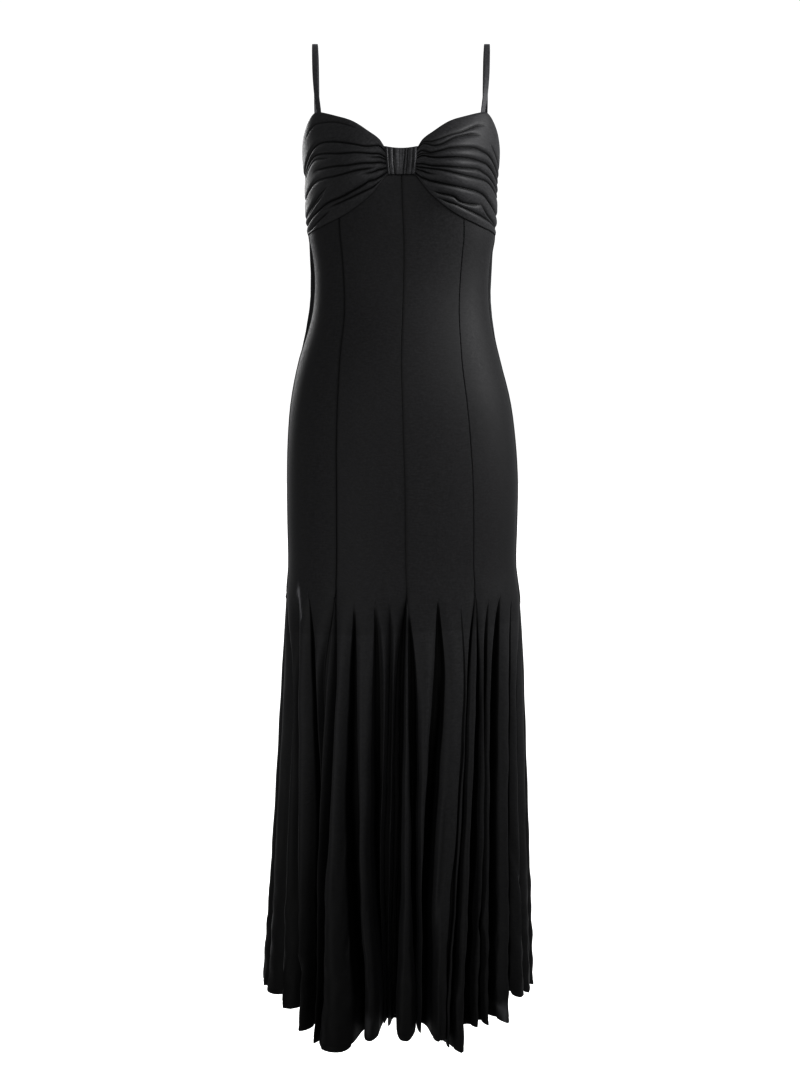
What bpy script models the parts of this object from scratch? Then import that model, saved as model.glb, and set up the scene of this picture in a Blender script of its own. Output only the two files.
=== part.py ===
"""A gored maxi dress as it hangs when it is worn, with nobody in it.

Two ruched cups meet under a gathered centre loop. Eight gores run down to the hem, the front
four from the bust seam and the back four from the back neckline, with a godet let into each of
the eight long seams from mid thigh down. Two narrow straps hold the dress up, and a short slip
lines it to just below the godet tops.

Metres, +Z up. The front faces -Y and left is -X. The origin is midway between the two strap
tops, where they bear on the shoulders. Angles are in degrees round the dress from the centre
front, positive towards +X, with the centre back at 180.
"""

import math

import bpy
from mathutils import Vector

MM = 0.001
WALL = 1.2 * MM
HALF_GAP = 0.15 * MM
HEM = -1.376

# The outer form of the dress on a general figure: height, half width, depth in front of the
# side seams, depth behind them and how far it sways to the right (mm).
SECTIONS = (
    (-0.080, 0.1400, 0.078, 0.082, 0.0),
    (-0.150, 0.1400, 0.096, 0.088, 0.0),
    (-0.200, 0.1365, 0.101, 0.088, 0.4),
    (-0.255, 0.1350, 0.097, 0.086, 0.4),
    (-0.283, 0.1335, 0.093, 0.084, 1.3),
    (-0.312, 0.1280, 0.089, 0.082, 1.4),
    (-0.355, 0.1258, 0.086, 0.081, 0.8),
    (-0.399, 0.1300, 0.090, 0.085, -0.2),
    (-0.457, 0.1451, 0.101, 0.098, -2.1),
    (-0.515, 0.1580, 0.107, 0.112, -0.5),
    (-0.573, 0.1641, 0.107, 0.122, 1.0),
    (-0.631, 0.1663, 0.105, 0.124, 2.2),
    (-0.690, 0.1657, 0.103, 0.120, 2.0),
    (-0.750, 0.1645, 0.102, 0.114, 1.8),
    (-0.805, 0.1697, 0.106, 0.114, 2.9),
    (-0.900, 0.1760, 0.120, 0.128, 3.0),
    (-1.080, 0.1847, 0.145, 0.151, 0.7),
    (-1.240, 0.1920, 0.164, 0.168, -1.9),
    (-1.400, 0.2005, 0.183, 0.185, -4.5),
)
BUST_RISE = 0.024
BUST_OFFSET = 0.074
BUST_HEIGHT = -0.190
BUST_HALF_WIDTH = 0.036
BUST_ABOVE = 0.046
BUST_BELOW = 0.036

# The long seams above the godets: height, then the angles of the centre front, front right,
# front left and back princess seams. Side seams stay at 90 degrees, the centre back at 180.
SEAMS = (
    (-0.200, 0.0, 40.0, 39.0, 140.0),
    (-0.270, 1.0, 41.0, 40.5, 139.5),
    (-0.330, 1.2, 41.5, 41.0, 139.0),
    (-0.400, 0.8, 39.5, 38.0, 141.0),
    (-0.490, 0.8, 36.5, 34.5, 143.0),
    (-0.600, 1.0, 36.5, 34.0, 143.5),
    (-0.700, 1.5, 37.5, 34.0, 143.0),
    (-0.785, 2.0, 38.0, 34.5, 142.5),
)
GODET_TOPS = {"centre": -0.781, "princess": -0.779, "side": -0.752}
GODET_SLIT = 0.022

# The skirt's folds grow from the fold start down to the hem.
FOLD_START = -0.785
FOLD_HIGH = -0.900
FOLD_MID = -1.080
FOLD_GROWTH = 0.88
FOLD_FULLNESS = 0.9

# The folds, from the centre front round by the right side. Each row is one ridge and the valley
# after it: the piece, the ridge's angle at the fold start, at the high and mid levels and at the
# hem, how far in the ridge and the valley stand at the hem (mm), and how far the hem drops at
# the ridge (mm). A godet's ridges all start at its point.
FOLDS = (
    ("godet_front", 2.0, 2.8, 2.8, 1.5, 0, 50, 1),
    ("gore_front_right", 10.0, 10.8, 9.3, 9.0, 10, 55, -7),
    ("gore_front_right", 24.0, 21.5, 17.0, 14.0, 0, 14, 5),
    ("gore_front_right", 32.5, 29.5, 23.5, 18.5, 0, 50, 18),
    ("godet_front_right", 38.0, 35.5, 30.0, 23.5, 0, 50, 24),
    ("gore_side_front_right", 44.0, 42.0, 39.0, 33.0, 2, 28, -3),
    ("gore_side_front_right", 50.0, 47.5, 46.0, 40.5, 10, 60, -3),
    ("gore_side_front_right", 62.5, 57.5, 52.5, 47.5, 0, 42, 0),
    ("gore_side_front_right", 73.0, 68.0, 62.0, 58.0, 0, 46, -24),
    ("godet_side_right", 90.0, 82.0, 78.0, 74.0, 0, 44, -19),
    ("godet_side_right", 90.0, 92.0, 91.0, 90.0, 0, 48, -14),
    ("godet_side_right", 90.0, 100.0, 102.0, 103.0, 2, 52, -12),
    ("gore_side_back_right", 110.0, 110.0, 112.5, 114.5, 0, 44, -4),
    ("gore_side_back_right", 124.0, 122.0, 123.0, 125.5, 3, 50, 2),
    ("gore_side_back_right", 134.0, 132.5, 134.0, 136.0, 0, 52, -2),
    ("godet_back_right", 142.5, 143.0, 145.0, 147.5, 0, 48, 4),
    ("gore_back_right", 152.0, 153.5, 156.0, 158.0, 4, 42, 8),
    ("gore_back_right", 166.0, 166.0, 167.5, 169.0, 0, 54, 2),
    ("godet_back", 180.0, 179.0, 179.5, 180.5, 0, 50, -3),
    ("gore_back_left", -166.0, -168.0, -169.0, -168.0, 3, 46, 5),
    ("gore_back_left", -153.0, -155.5, -157.0, -157.5, 0, 52, 9),
    ("godet_back_left", -142.5, -144.0, -146.0, -147.0, 0, 50, 2),
    ("gore_side_back_left", -133.0, -133.5, -135.0, -135.5, 2, 48, -3),
    ("gore_side_back_left", -122.0, -122.5, -124.0, -125.0, 0, 52, 4),
    ("gore_side_back_left", -109.0, -110.5, -113.0, -114.0, 4, 46, -5),
    ("godet_side_left", -90.0, -100.0, -102.5, -102.5, 0, 50, -12),
    ("godet_side_left", -90.0, -90.5, -91.0, -89.5, 0, 42, -16),
    ("godet_side_left", -90.0, -79.0, -76.0, -74.0, 2, 44, -20),
    ("gore_side_front_left", -66.0, -63.0, -60.5, -58.5, 4, 42, -12),
    ("gore_side_front_left", -57.5, -54.5, -50.5, -44.5, 0, 52, 7),
    ("gore_side_front_left", -47.0, -45.5, -44.0, -39.0, 22, 46, 0),
    ("godet_front_left", -34.5, -37.0, -37.5, -34.5, 0, 50, 18),
    ("gore_front_left", -30.0, -29.0, -30.0, -27.5, -4, 52, 22),
    ("gore_front_left", -19.0, -19.0, -18.5, -14.5, 0, 60, 3),
    ("gore_front_left", -7.5, -8.0, -9.0, -8.5, 24, 52, -17),
    ("gore_front_left", -1.5, -2.0, -2.5, -3.5, 26, 58, -7),
)
# The heights of the rows of cloth, and where its columns stand from a ridge (0) to a valley (1).
TOP_SHARES = (0.0, 0.35, 0.7)
PLAIN_ROWS = (-0.360, -0.405, -0.450, -0.500, -0.560, -0.640, -0.715, -0.758)
FOLDED_ROWS = (-0.800, -0.840, -0.900, -0.980, -1.080, -1.190, -1.290, HEM)
PLAIN_STRIPS = 5
FLANK_SHARES = (0.24, 0.5, 0.8)
NARROW_FLANK = (0.5,)

# The bodice: angle from the centre front, height of the cup's top edge, height of the bust
# seam; then the angle and the height of the back neckline.
CUP_EDGES = (
    (0.0, -0.1665, -0.1985),
    (8.5, -0.1630, -0.2000),
    (9.6, -0.1600, -0.2025),
    (12.4, -0.1495, -0.2110),
    (18.0, -0.1390, -0.2260),
    (28.5, -0.1225, -0.2440),
    (39.5, -0.1135, -0.2560),
    (54.0, -0.1050, -0.2655),
    (60.0, -0.1045, -0.2685),
    (66.0, -0.1105, -0.2705),
    (76.0, -0.1265, -0.2735),
    (90.0, -0.1500, -0.2765),
)
BACK_NECKLINE = (
    (90.0, -0.1500),
    (105.0, -0.1600),
    (125.0, -0.1770),
    (150.0, -0.1930),
    (180.0, -0.1990),
)
GORE_BELOW_CUP = 0.5 * MM
CUP_LIFT = 2.4 * MM
CUP_EDGE_LIFT = 1.5 * MM
CREST_LIFTS = (1.9 * MM, 2.9 * MM, 2.9 * MM)
CUP_COLUMNS = (0.5, 8.5, 15, 22, 30, 38, 46, 54, 61, 68, 75, 82, 89.9)
CREASE_STATIONS = (8.5, 38.0, 90.0)
# The creases of each cup: how far down the cup each lies at the loop, at the bust point and at
# the side seam (0 at the top edge, 1 at the bust seam), and how deep it is there (mm).
CREASES = {
    "cup_left": (
        (0.03, 0.11, 0.15, 0.2, 0.5, 1.2),
        (0.08, 0.26, 0.31, 2.2, 2.0, 1.8),
        (0.29, 0.37, 0.38, 2.6, 2.4, 2.0),
        (0.41, 0.43, 0.46, 2.2, 1.6, 1.6),
        (0.57, 0.51, 0.55, 2.6, 2.0, 2.0),
        (0.70, 0.60, 0.63, 2.6, 2.2, 2.2),
        (0.80, 0.69, 0.74, 1.6, 1.0, 2.2),
        (0.88, 0.78, 0.86, 3.0, 3.4, 2.6),
        (0.95, 0.88, 0.94, 2.2, 2.0, 1.6),
    ),
    "cup_right": (
        (0.03, 0.12, 0.09, 1.0, 1.4, 1.2),
        (0.09, 0.20, 0.19, 2.0, 1.8, 1.6),
        (0.20, 0.32, 0.35, 2.6, 2.0, 2.0),
        (0.36, 0.42, 0.47, 2.8, 2.4, 2.0),
        (0.60, 0.52, 0.57, 2.6, 2.2, 2.0),
        (0.72, 0.60, 0.67, 2.4, 2.2, 2.2),
        (0.88, 0.73, 0.78, 2.8, 2.6, 2.4),
        (0.94, 0.83, 0.87, 1.6, 2.2, 2.0),
        (0.98, 0.92, 0.95, 1.6, 2.0, 1.8),
    ),
}

# The centre loop, from behind the neckline, over it and down the front: how far it stands out
# from the form (mm), its height, how far its corners rise there (mm) and the share of its pleats.
LOOP_ROWS = (
    (-4.0, -0.1780, 0.0, 0.0),
    (-4.2, -0.1670, 1.0, 0.0),
    (-2.4, -0.1622, 2.0, 0.2),
    (0.6, -0.1612, 2.4, 0.5),
    (4.3, -0.1625, 2.0, 0.8),
    (5.0, -0.1680, 1.0, 1.0),
    (5.6, -0.1780, 0.0, 1.0),
    (5.4, -0.1890, 0.0, 1.0),
    (4.4, -0.1965, 0.0, 0.8),
    (3.6, -0.1990, 0.0, 0.6),
)
LOOP_HALF_WIDTH = 0.0212
# Its ridges and creases: offset from the centre at the top and at the bottom, and how far each
# stands out (mm).
LOOP_PLEATS = (
    (-22.6, -17.0, -1.2),
    (-20.2, -15.2, 0.8),
    (-17.0, -12.6, -0.8),
    (-13.6, -10.2, 0.8),
    (-10.2, -8.0, -0.9),
    (-6.0, -4.8, 0.9),
    (-1.2, -0.8, 0.5),
    (2.8, 2.4, -0.9),
    (4.9, 4.2, 0.6),
    (6.9, 6.0, -0.8),
    (9.0, 7.8, 0.7),
    (11.1, 9.8, -0.8),
    (15.2, 13.6, 0.9),
    (19.0, 17.2, 0.4),
    (21.6, 19.4, -1.2),
)

# A strap's middle line from inside the cup, over the shoulder, to inside the back neckline:
# distance from the centre, distance behind the shoulder point, height, and how far the strap
# turns from facing the front.
STRAP_WIDTH = 8.0 * MM
STRAP_WALL = 1.6 * MM
STRAP_PATH = (
    (0.1160, -0.0445, -0.1140, 43),
    (0.1168, -0.0455, -0.1020, 42),
    (0.1200, -0.0440, -0.0780, 32),
    (0.1225, -0.0340, -0.0480, 20),
    (0.1238, -0.0180, -0.0170, 8),
    (0.1243, -0.0060, -0.0035, 2),
    (0.1245, 0.0040, 0.0008, 0),
    (0.1245, 0.0150, -0.0030, -2),
    (0.1243, 0.0290, -0.0190, -10),
    (0.1240, 0.0410, -0.0570, -22),
    (0.1233, 0.0450, -0.1080, -36),
    (0.1192, 0.0413, -0.1600, -47),
    (0.1175, 0.0401, -0.1800, -48),
)

# The slip inside: how far below the dress's top edge it starts, its hem, and by height how far
# in from the form it hangs. Its upper rows are at the gores' heights.
LINING_TUCK = 0.012
LINING_HEM = -0.853
LINING_INSET = (
    (-0.290, 4.0 * MM),
    (-0.360, 2.8 * MM),
    (-0.700, 2.8 * MM),
    (-0.750, 4.0 * MM),
    (-0.780, 8.0 * MM),
    (-0.820, 15.0 * MM),
    (-0.853, 22.0 * MM),
)
LINING_ROWS = (-0.785, -0.820, LINING_HEM)
LINING_STRIPS = 14

JERSEY = (0.012, 0.012, 0.013, 1.0)
STRAP_BLACK = (0.010, 0.010, 0.011, 1.0)
SLIP_BLACK = (0.008, 0.008, 0.009, 1.0)


def curve(places, values, at):
    """A smooth line through the values, flat past both ends. The places rise or fall steadily."""
    if places[0] > places[-1]:
        places, values = places[::-1], values[::-1]
    if at <= places[0]:
        return values[0]
    if at >= places[-1]:
        return values[-1]
    last = len(places) - 1
    i = next(k for k in range(last) if at <= places[k + 1])

    def slope(k):
        low, high = max(k - 1, 0), min(k + 1, last)
        return (values[high] - values[low]) / (places[high] - places[low])

    span = places[i + 1] - places[i]
    t = (at - places[i]) / span
    return (
        values[i] * (2 * t**3 - 3 * t**2 + 1)
        + slope(i) * span * (t**3 - 2 * t**2 + t)
        + values[i + 1] * (3 * t**2 - 2 * t**3)
        + slope(i + 1) * span * (t**3 - t**2)
    )


def columns_of(table):
    return [tuple(column) for column in zip(*table)]


FORM_HEIGHTS, FORM_HALF_WIDTHS, FORM_FRONTS, FORM_BACKS, FORM_SWAYS = columns_of(SECTIONS)
SEAM_HEIGHTS, SEAM_CENTRE, SEAM_RIGHT, SEAM_LEFT, SEAM_BACK = columns_of(SEAMS)
EDGE_ANGLES, CUP_TOPS, BUST_SEAM = columns_of(CUP_EDGES)
NECK_ANGLES, NECK_HEIGHTS = columns_of(BACK_NECKLINE)
LINING_HEIGHTS, LINING_INSETS = columns_of(LINING_INSET)


def clear_scene():
    for obj in list(bpy.data.objects):
        bpy.data.objects.remove(obj, do_unlink=True)


def form(angle, height):
    """A point on the outer form of the dress, before any fold."""
    turn = math.radians(angle)
    half_width = curve(FORM_HEIGHTS, FORM_HALF_WIDTHS, height)
    sway = curve(FORM_HEIGHTS, FORM_SWAYS, height) * MM
    x = half_width * math.sin(turn)
    if math.cos(turn) <= 0:
        back = curve(FORM_HEIGHTS, FORM_BACKS, height)
        return Vector((x + sway, -back * math.cos(turn), height))
    reach = BUST_ABOVE if height > BUST_HEIGHT else BUST_BELOW
    across = ((abs(x) - BUST_OFFSET) / BUST_HALF_WIDTH) ** 2
    down = ((height - BUST_HEIGHT) / reach) ** 2
    bust = BUST_RISE * math.exp(-(across + down) / 2) * (1 - (x / half_width) ** 6)
    front = curve(FORM_HEIGHTS, FORM_FRONTS, height)
    return Vector((x + sway, -front * math.cos(turn) - bust, height))


def pulled_in(point, inset):
    keep = 1 - inset / math.hypot(point.x, point.y)
    return Vector((point.x * keep, point.y * keep, point.z))


def outward(surface, along, up, step_along=0.01, step_up=0.001):
    """The outward normal of a surface whose first number runs round it and whose second rises."""
    round_it = surface(along + step_along, up) - surface(along - step_along, up)
    rise = surface(along, up + step_up) - surface(along, up - step_up)
    return round_it.cross(rise).normalized()


def full_turn(angle, least):
    """The angle, with whole turns added until it isn't less than the least one."""
    while angle < least:
        angle += 360
    return angle


def seam_angle(seam, height):
    """The angle of a long seam above its godet. A seam has its godet's name."""
    side = -1 if seam.endswith("left") else 1
    if seam == "front":
        return curve(SEAM_HEIGHTS, SEAM_CENTRE, height)
    if seam == "back":
        return 180.0
    if seam.startswith("side"):
        return side * 90.0
    if seam.startswith("back"):
        return side * curve(SEAM_HEIGHTS, SEAM_BACK, height)
    return side * curve(SEAM_HEIGHTS, SEAM_LEFT if side < 0 else SEAM_RIGHT, height)


def seam_end(seam):
    """The height of the godet's point on a long seam."""
    if seam in ("front", "back"):
        return GODET_TOPS["centre"]
    return GODET_TOPS["side" if seam.startswith("side") else "princess"]


def godet_name(piece):
    return piece.removeprefix("godet_") if piece.startswith("godet_") else None


class Line:
    """A ridge or a valley of the skirt, or a seam, which lies in a valley."""

    def __init__(self, angles, inset_mm, drop_mm, start, seam=None):
        self.angles = angles
        self.inset = inset_mm * MM
        self.drop = drop_mm * MM
        self.start = start
        self.seam = seam
        self.edges = None

    def angle(self, height):
        if height < self.start:
            return curve((self.start, FOLD_HIGH, FOLD_MID, HEM), self.angles, height)
        if self.seam:
            return full_turn(seam_angle(self.seam, height), self.angles[0] - 90)
        left, right = (edge.angle(self.start) for edge in self.edges)
        if left == right:
            return self.edges[0].angle(height)
        share = (self.angles[0] - left) / (right - left)
        left, right = (edge.angle(height) for edge in self.edges)
        return left + (right - left) * share

    def depth(self, height):
        share = max(0.0, (self.start - height) / (self.start - HEM))
        return self.inset * share**FOLD_GROWTH


def skirt_ridges():
    ridges = []
    angles = [0.0] * 4
    for piece, *row, inset, _, drop in FOLDS:
        angles = [full_turn(angle, before) for angle, before in zip(row, angles)]
        godet = godet_name(piece)
        ridges.append(Line(angles, inset, drop, seam_end(godet) if godet else FOLD_START))
    return ridges


def skirt_lines():
    """The skirt's lines in order: seam, ridge, valley, ridge and so on to the first seam again.

    Also gives the numbers of the first and the last line of each piece."""
    ridges = skirt_ridges()
    lines, spans = [], {}
    for i, ridge in enumerate(ridges):
        following = (i + 1) % len(ridges)
        whole_turn = 0 if following else 360
        piece, next_piece = FOLDS[i][0], FOLDS[following][0]
        angles = [(a + b + whole_turn) / 2 for a, b in zip(ridge.angles, ridges[following].angles)]
        godet = godet_name(piece) or godet_name(next_piece)
        seam = godet if piece != next_piece else None
        start = seam_end(godet) if godet else FOLD_START
        if seam:
            angles[0] = full_turn(seam_angle(seam, start), angles[0] - 90)
        drop_mm = (ridge.drop + ridges[following].drop) / 2 / MM
        lines += [ridge, Line(angles, FOLDS[i][-2], drop_mm, start, seam)]
        spans.setdefault(piece, [2 * i, 0])[1] = 2 * i + 2
    last = lines[-1]
    before = [angle - 360 for angle in last.angles]
    lines.insert(0, Line(before, last.inset / MM, last.drop / MM, last.start, last.seam))
    for left, right in spans.values():
        for line in lines[left + 1 : right]:
            line.edges = (lines[left], lines[right])
    return lines, spans


def skirt_angle(lines, place, height):
    """The angle at a place, which counts lines round the dress. Ridges and valleys are broad."""
    i = min(max(math.floor(place), 0), len(lines) - 2)
    share = place - i
    share += FOLD_FULLNESS * math.sin(2 * math.pi * share) / (2 * math.pi)
    start, end = lines[i].angle(height), lines[i + 1].angle(height)
    return start + (end - start) * share


def skirt_point(lines, place, level):
    """A point of the gores and godets. The level is its height before the hem drops or rises."""
    i = min(max(math.floor(place), 0), len(lines) - 2)
    first, second = lines[i], lines[i + 1]
    share = (1 - math.cos(math.pi * (place - i))) / 2
    fall = max(0.0, (FOLD_START - level) / (FOLD_START - HEM))
    height = level - (first.drop * (1 - share) + second.drop * share) * fall**2
    inset = first.depth(height) * (1 - share) + second.depth(height) * share
    return pulled_in(form(skirt_angle(lines, place, height), height), inset)


def add_material(name, colour, roughness):
    material = bpy.data.materials.new(name)
    material.use_nodes = True
    shader = material.node_tree.nodes["Principled BSDF"]
    shader.inputs["Base Color"].default_value = colour
    shader.inputs["Roughness"].default_value = roughness
    shader.inputs["Metallic"].default_value = 0.0
    return material


def strip_between(above, below):
    """Triangles between two rows of columns, as (0 above or 1 below, column) corners."""
    triangles = []
    i = j = 0
    while i < len(above) - 1 or j < len(below) - 1:
        corners = [(1, below[j]), (0, above[i])]
        if j < len(below) - 1 and (i == len(above) - 1 or below[j + 1] <= above[i + 1]):
            j += 1
            corners.insert(1, (1, below[j]))
        else:
            i += 1
            corners.insert(1, (0, above[i]))
        triangles.append(corners)
    return triangles


def sew(name, rows, colour=JERSEY, roughness=0.62, wall=WALL):
    """Makes a closed wall of cloth. Each row, from the top down, maps a column's place to its
    (point, normal). A row may leave out columns that its neighbour has, except the end ones."""
    points, faces = [], []
    outer, inner = [], []
    for row in rows:
        for side, sheet in ((wall / 2, outer), (-wall / 2, inner)):
            sheet.append({})
            for column, (point, normal) in row.items():
                sheet[-1][column] = len(points)
                points.append(tuple(point + normal * side))
    for k in range(len(rows) - 1):
        for a, b, c in strip_between(sorted(rows[k]), sorted(rows[k + 1])):
            faces.append([outer[k + row][column] for row, column in (a, b, c)])
            faces.append([inner[k + row][column] for row, column in (c, b, a)])
        for end, order in ((min(rows[k]), -1), (max(rows[k]), 1)):
            rim = [outer[k][end], outer[k + 1][end], inner[k + 1][end], inner[k][end]]
            faces.append(rim[::order])
    for k, order in ((0, 1), (len(rows) - 1, -1)):
        ends = sorted(rows[k])
        for left, right in zip(ends, ends[1:]):
            rim = [outer[k][left], outer[k][right], inner[k][right], inner[k][left]]
            faces.append(rim[::order])
    mesh = bpy.data.meshes.new(name)
    mesh.from_pydata(points, [], faces)
    mesh.materials.append(add_material(name, colour, roughness))
    mesh.shade_smooth()
    mesh.set_sharp_from_angle(angle=math.radians(50))
    obj = bpy.data.objects.new(name, mesh)
    bpy.context.scene.collection.objects.link(obj)
    return obj


def cloth_at(surface, place, level, ends):
    """The point and the normal of a piece. Its two end columns are drawn in from the seams."""
    point = surface(place, level)
    if place in ends:
        inward = 0.02 if place == ends[0] else -0.02
        along = surface(place + inward, level) - point
        point = point + along.normalized() * HALF_GAP
    return point, outward(surface, place, level)


def edge_height(angle):
    """The top of a gore: the bust seam in front and the neckline behind."""
    turn = abs((angle + 180) % 360 - 180)
    if turn < 90:
        return curve(EDGE_ANGLES, BUST_SEAM, turn) - GORE_BELOW_CUP
    return curve(NECK_ANGLES, NECK_HEIGHTS, turn)


def fold_places(first, last, flank_shares=FLANK_SHARES):
    """A piece's columns: its end seams, its ridges and valleys, and the flanks of the ridges."""
    places = list(range(first, last + 1))
    for ridge in range(first + 1, last, 2):
        for share in flank_shares:
            places += [ridge - share, ridge + share]
    return sorted(places)


def plain_places(lines, places):
    """The few columns, of those given, that share the width above the folds most evenly."""
    angles = {place: skirt_angle(lines, place, FOLD_START) for place in places}
    left, right = angles[places[0]], angles[places[-1]]
    chosen = {places[0], places[-1]}
    for strip in range(1, PLAIN_STRIPS):
        target = left + (right - left) * strip / PLAIN_STRIPS
        chosen.add(min(places[1:-1], key=lambda place: abs(angles[place] - target)))
    return sorted(chosen)


def make_gore(name, lines, first, last):
    ends = (first, last)

    def surface(place, level):
        return skirt_point(lines, place, level)

    folded = fold_places(first, last)
    plain = plain_places(lines, folded)
    rows = []
    for share in TOP_SHARES:
        row = {}
        for place in plain:
            inside = min(max(place, first + 0.01), last - 0.01)
            top = edge_height(skirt_angle(lines, inside, -0.24))
            level = top + (PLAIN_ROWS[0] - top) * share
            row[place] = cloth_at(surface, place, level, ends)
        rows.append(row)
    for level in PLAIN_ROWS:
        rows.append({place: cloth_at(surface, place, level, ends) for place in plain})
    for level in FOLDED_ROWS:
        rows.append({place: cloth_at(surface, place, level, ends) for place in folded})
    sew(name, rows)


def make_godet(name, lines, first, last):
    ends = (first, last)

    def surface(place, level):
        return skirt_point(lines, place, level)

    top = lines[first].start - GODET_SLIT
    rows = [{place: cloth_at(surface, place, top, ends) for place in ends}]
    for level in FOLDED_ROWS:
        if level < top - GODET_SLIT:
            shares = NARROW_FLANK if level >= FOLD_HIGH else FLANK_SHARES
            places = fold_places(first, last, shares)
            rows.append({place: cloth_at(surface, place, level, ends) for place in places})
    sew(name, rows)


def cup_nodes(creases):
    """The top edge, then crests and creases by turns, then the lower edge. Each has its shares
    of the cup's height at the three stations, and its lifts there."""
    edge_lifts = (CUP_EDGE_LIFT,) * 3
    nodes = [((0.0,) * 3, edge_lifts)]
    for crease in (*creases, (1.0,) * 3 + (0.0,) * 3):
        shares, depths = crease[:3], crease[3:]
        crest = tuple((a + b) / 2 for a, b in zip(nodes[-1][0], shares))
        nodes.append((crest, CREST_LIFTS))
        nodes.append((shares, tuple(CUP_LIFT - depth * MM for depth in depths)))
    nodes[-1] = (nodes[-1][0], edge_lifts)
    return nodes


def make_cup(name):
    nodes = cup_nodes(CREASES[name])
    side = -1 if name.endswith("left") else 1

    def surface(angle, rise):
        turn = min(abs(angle), 90.0)
        i = min(max(math.floor(-rise), 0), len(nodes) - 2)
        share = -rise - i
        near, far = (
            [curve(CREASE_STATIONS, values, turn) for values in node] for node in nodes[i : i + 2]
        )
        soft = (1 - math.cos(math.pi * share)) / 2
        down = near[0] + (far[0] - near[0]) * share
        lift = near[1] + (far[1] - near[1]) * soft
        top, bottom = curve(EDGE_ANGLES, CUP_TOPS, turn), curve(EDGE_ANGLES, BUST_SEAM, turn)
        height = top + (bottom - top) * down
        return form(angle, height) + outward(form, angle, height) * lift

    angles = sorted(side * column for column in CUP_COLUMNS)
    rows = []
    for k in range(len(nodes)):
        row = {}
        for angle in angles:
            normal = outward(surface, angle, -k, 0.05, 0.05)
            row[angle] = (surface(angle, -k), normal)
        rows.append(row)
    sew(name, rows)


def make_loop():
    stand_offs, heights, corner_rises, pleat_shares = columns_of(LOOP_ROWS)
    tops, bottoms, outs = columns_of(LOOP_PLEATS)
    row_places, pleat_places = range(len(LOOP_ROWS)), range(len(LOOP_PLEATS))

    def surface(across, rise):
        row = -rise
        height = curve(row_places, heights, row)
        down = min(max((heights[3] - height) / (heights[3] - heights[-1]), 0), 1)
        top, bottom = curve(pleat_places, tops, across), curve(pleat_places, bottoms, across)
        x = (top + (bottom - top) * down) * MM
        pleat = curve(pleat_places, outs, across) * curve(row_places, pleat_shares, row)
        height += curve(row_places, corner_rises, row) * MM * (x / LOOP_HALF_WIDTH) ** 2
        half_width = curve(FORM_HEIGHTS, FORM_HALF_WIDTHS, height)
        on_form = form(math.degrees(math.asin(x / half_width)), height)
        stand_off = (curve(row_places, stand_offs, row) + pleat) * MM
        return on_form + Vector((0, -stand_off, 0))

    rows = []
    for k in row_places:
        row = {}
        for column in pleat_places:
            inside = min(max(column, 0.05), pleat_places[-1] - 0.05)
            middle = min(max(k, 0.05), row_places[-1] - 0.05)
            normal = outward(surface, inside, -middle, 0.04, 0.04)
            row[column] = (surface(column, -k), normal)
        rows.append(row)
    sew("center_loop", rows)


def make_strap(name, side):
    points = [Vector((side * x, y, z)) for x, y, z, _ in STRAP_PATH[::-1]]
    turns = [math.radians(side * turn) for *_, turn in STRAP_PATH[::-1]]
    rows = []
    for k, (point, turn) in enumerate(zip(points, turns)):
        width = Vector((math.cos(turn), math.sin(turn), 0))
        back_along = points[max(k - 1, 0)] - points[min(k + 1, len(points) - 1)]
        normal = width.cross(back_along).normalized()
        half = width * STRAP_WIDTH / 2
        rows.append({0: (point - half, normal), 1: (point, normal), 2: (point + half, normal)})
    sew(name, rows, STRAP_BLACK, 0.55, STRAP_WALL)


def make_lining(name, start, end):
    def surface(angle, level):
        return pulled_in(form(angle, level), curve(LINING_HEIGHTS, LINING_INSETS, level))

    angles = [start + (end - start) * k / LINING_STRIPS for k in range(LINING_STRIPS + 1)]
    rows = []
    for share in TOP_SHARES:
        row = {}
        for angle in angles:
            top = edge_height(angle) - LINING_TUCK
            level = top + (PLAIN_ROWS[0] - top) * share
            row[angle] = (surface(angle, level), outward(surface, angle, level))
        rows.append(row)
    for level in (*PLAIN_ROWS, *LINING_ROWS):
        rows.append({a: (surface(a, level), outward(surface, a, level)) for a in angles})
    sew(name, rows, SLIP_BLACK, 0.5)


def main():
    clear_scene()
    lines, spans = skirt_lines()
    for piece, (first, last) in spans.items():
        make = make_godet if godet_name(piece) else make_gore
        make(piece, lines, first, last)
    make_cup("cup_left")
    make_cup("cup_right")
    make_loop()
    make_strap("strap_left", -1)
    make_strap("strap_right", 1)
    make_lining("lining_front", -89.9, 89.9)
    make_lining("lining_back", 90.1, 269.9)


main()
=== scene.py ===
"""The finish of a gored maxi dress, worn by nobody: each piece of cloth lies on its solid's form.

Metres, +Z up. The front faces -Y and left is -X. Angles are in degrees round the dress from the
centre front, positive towards +X, with the centre back at 180. A place on the skirt counts its
lines round the dress: the valley at the left of the front godet, then the left edge of a fold's
face, its right edge, the next valley and so on.
"""

import math

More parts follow.
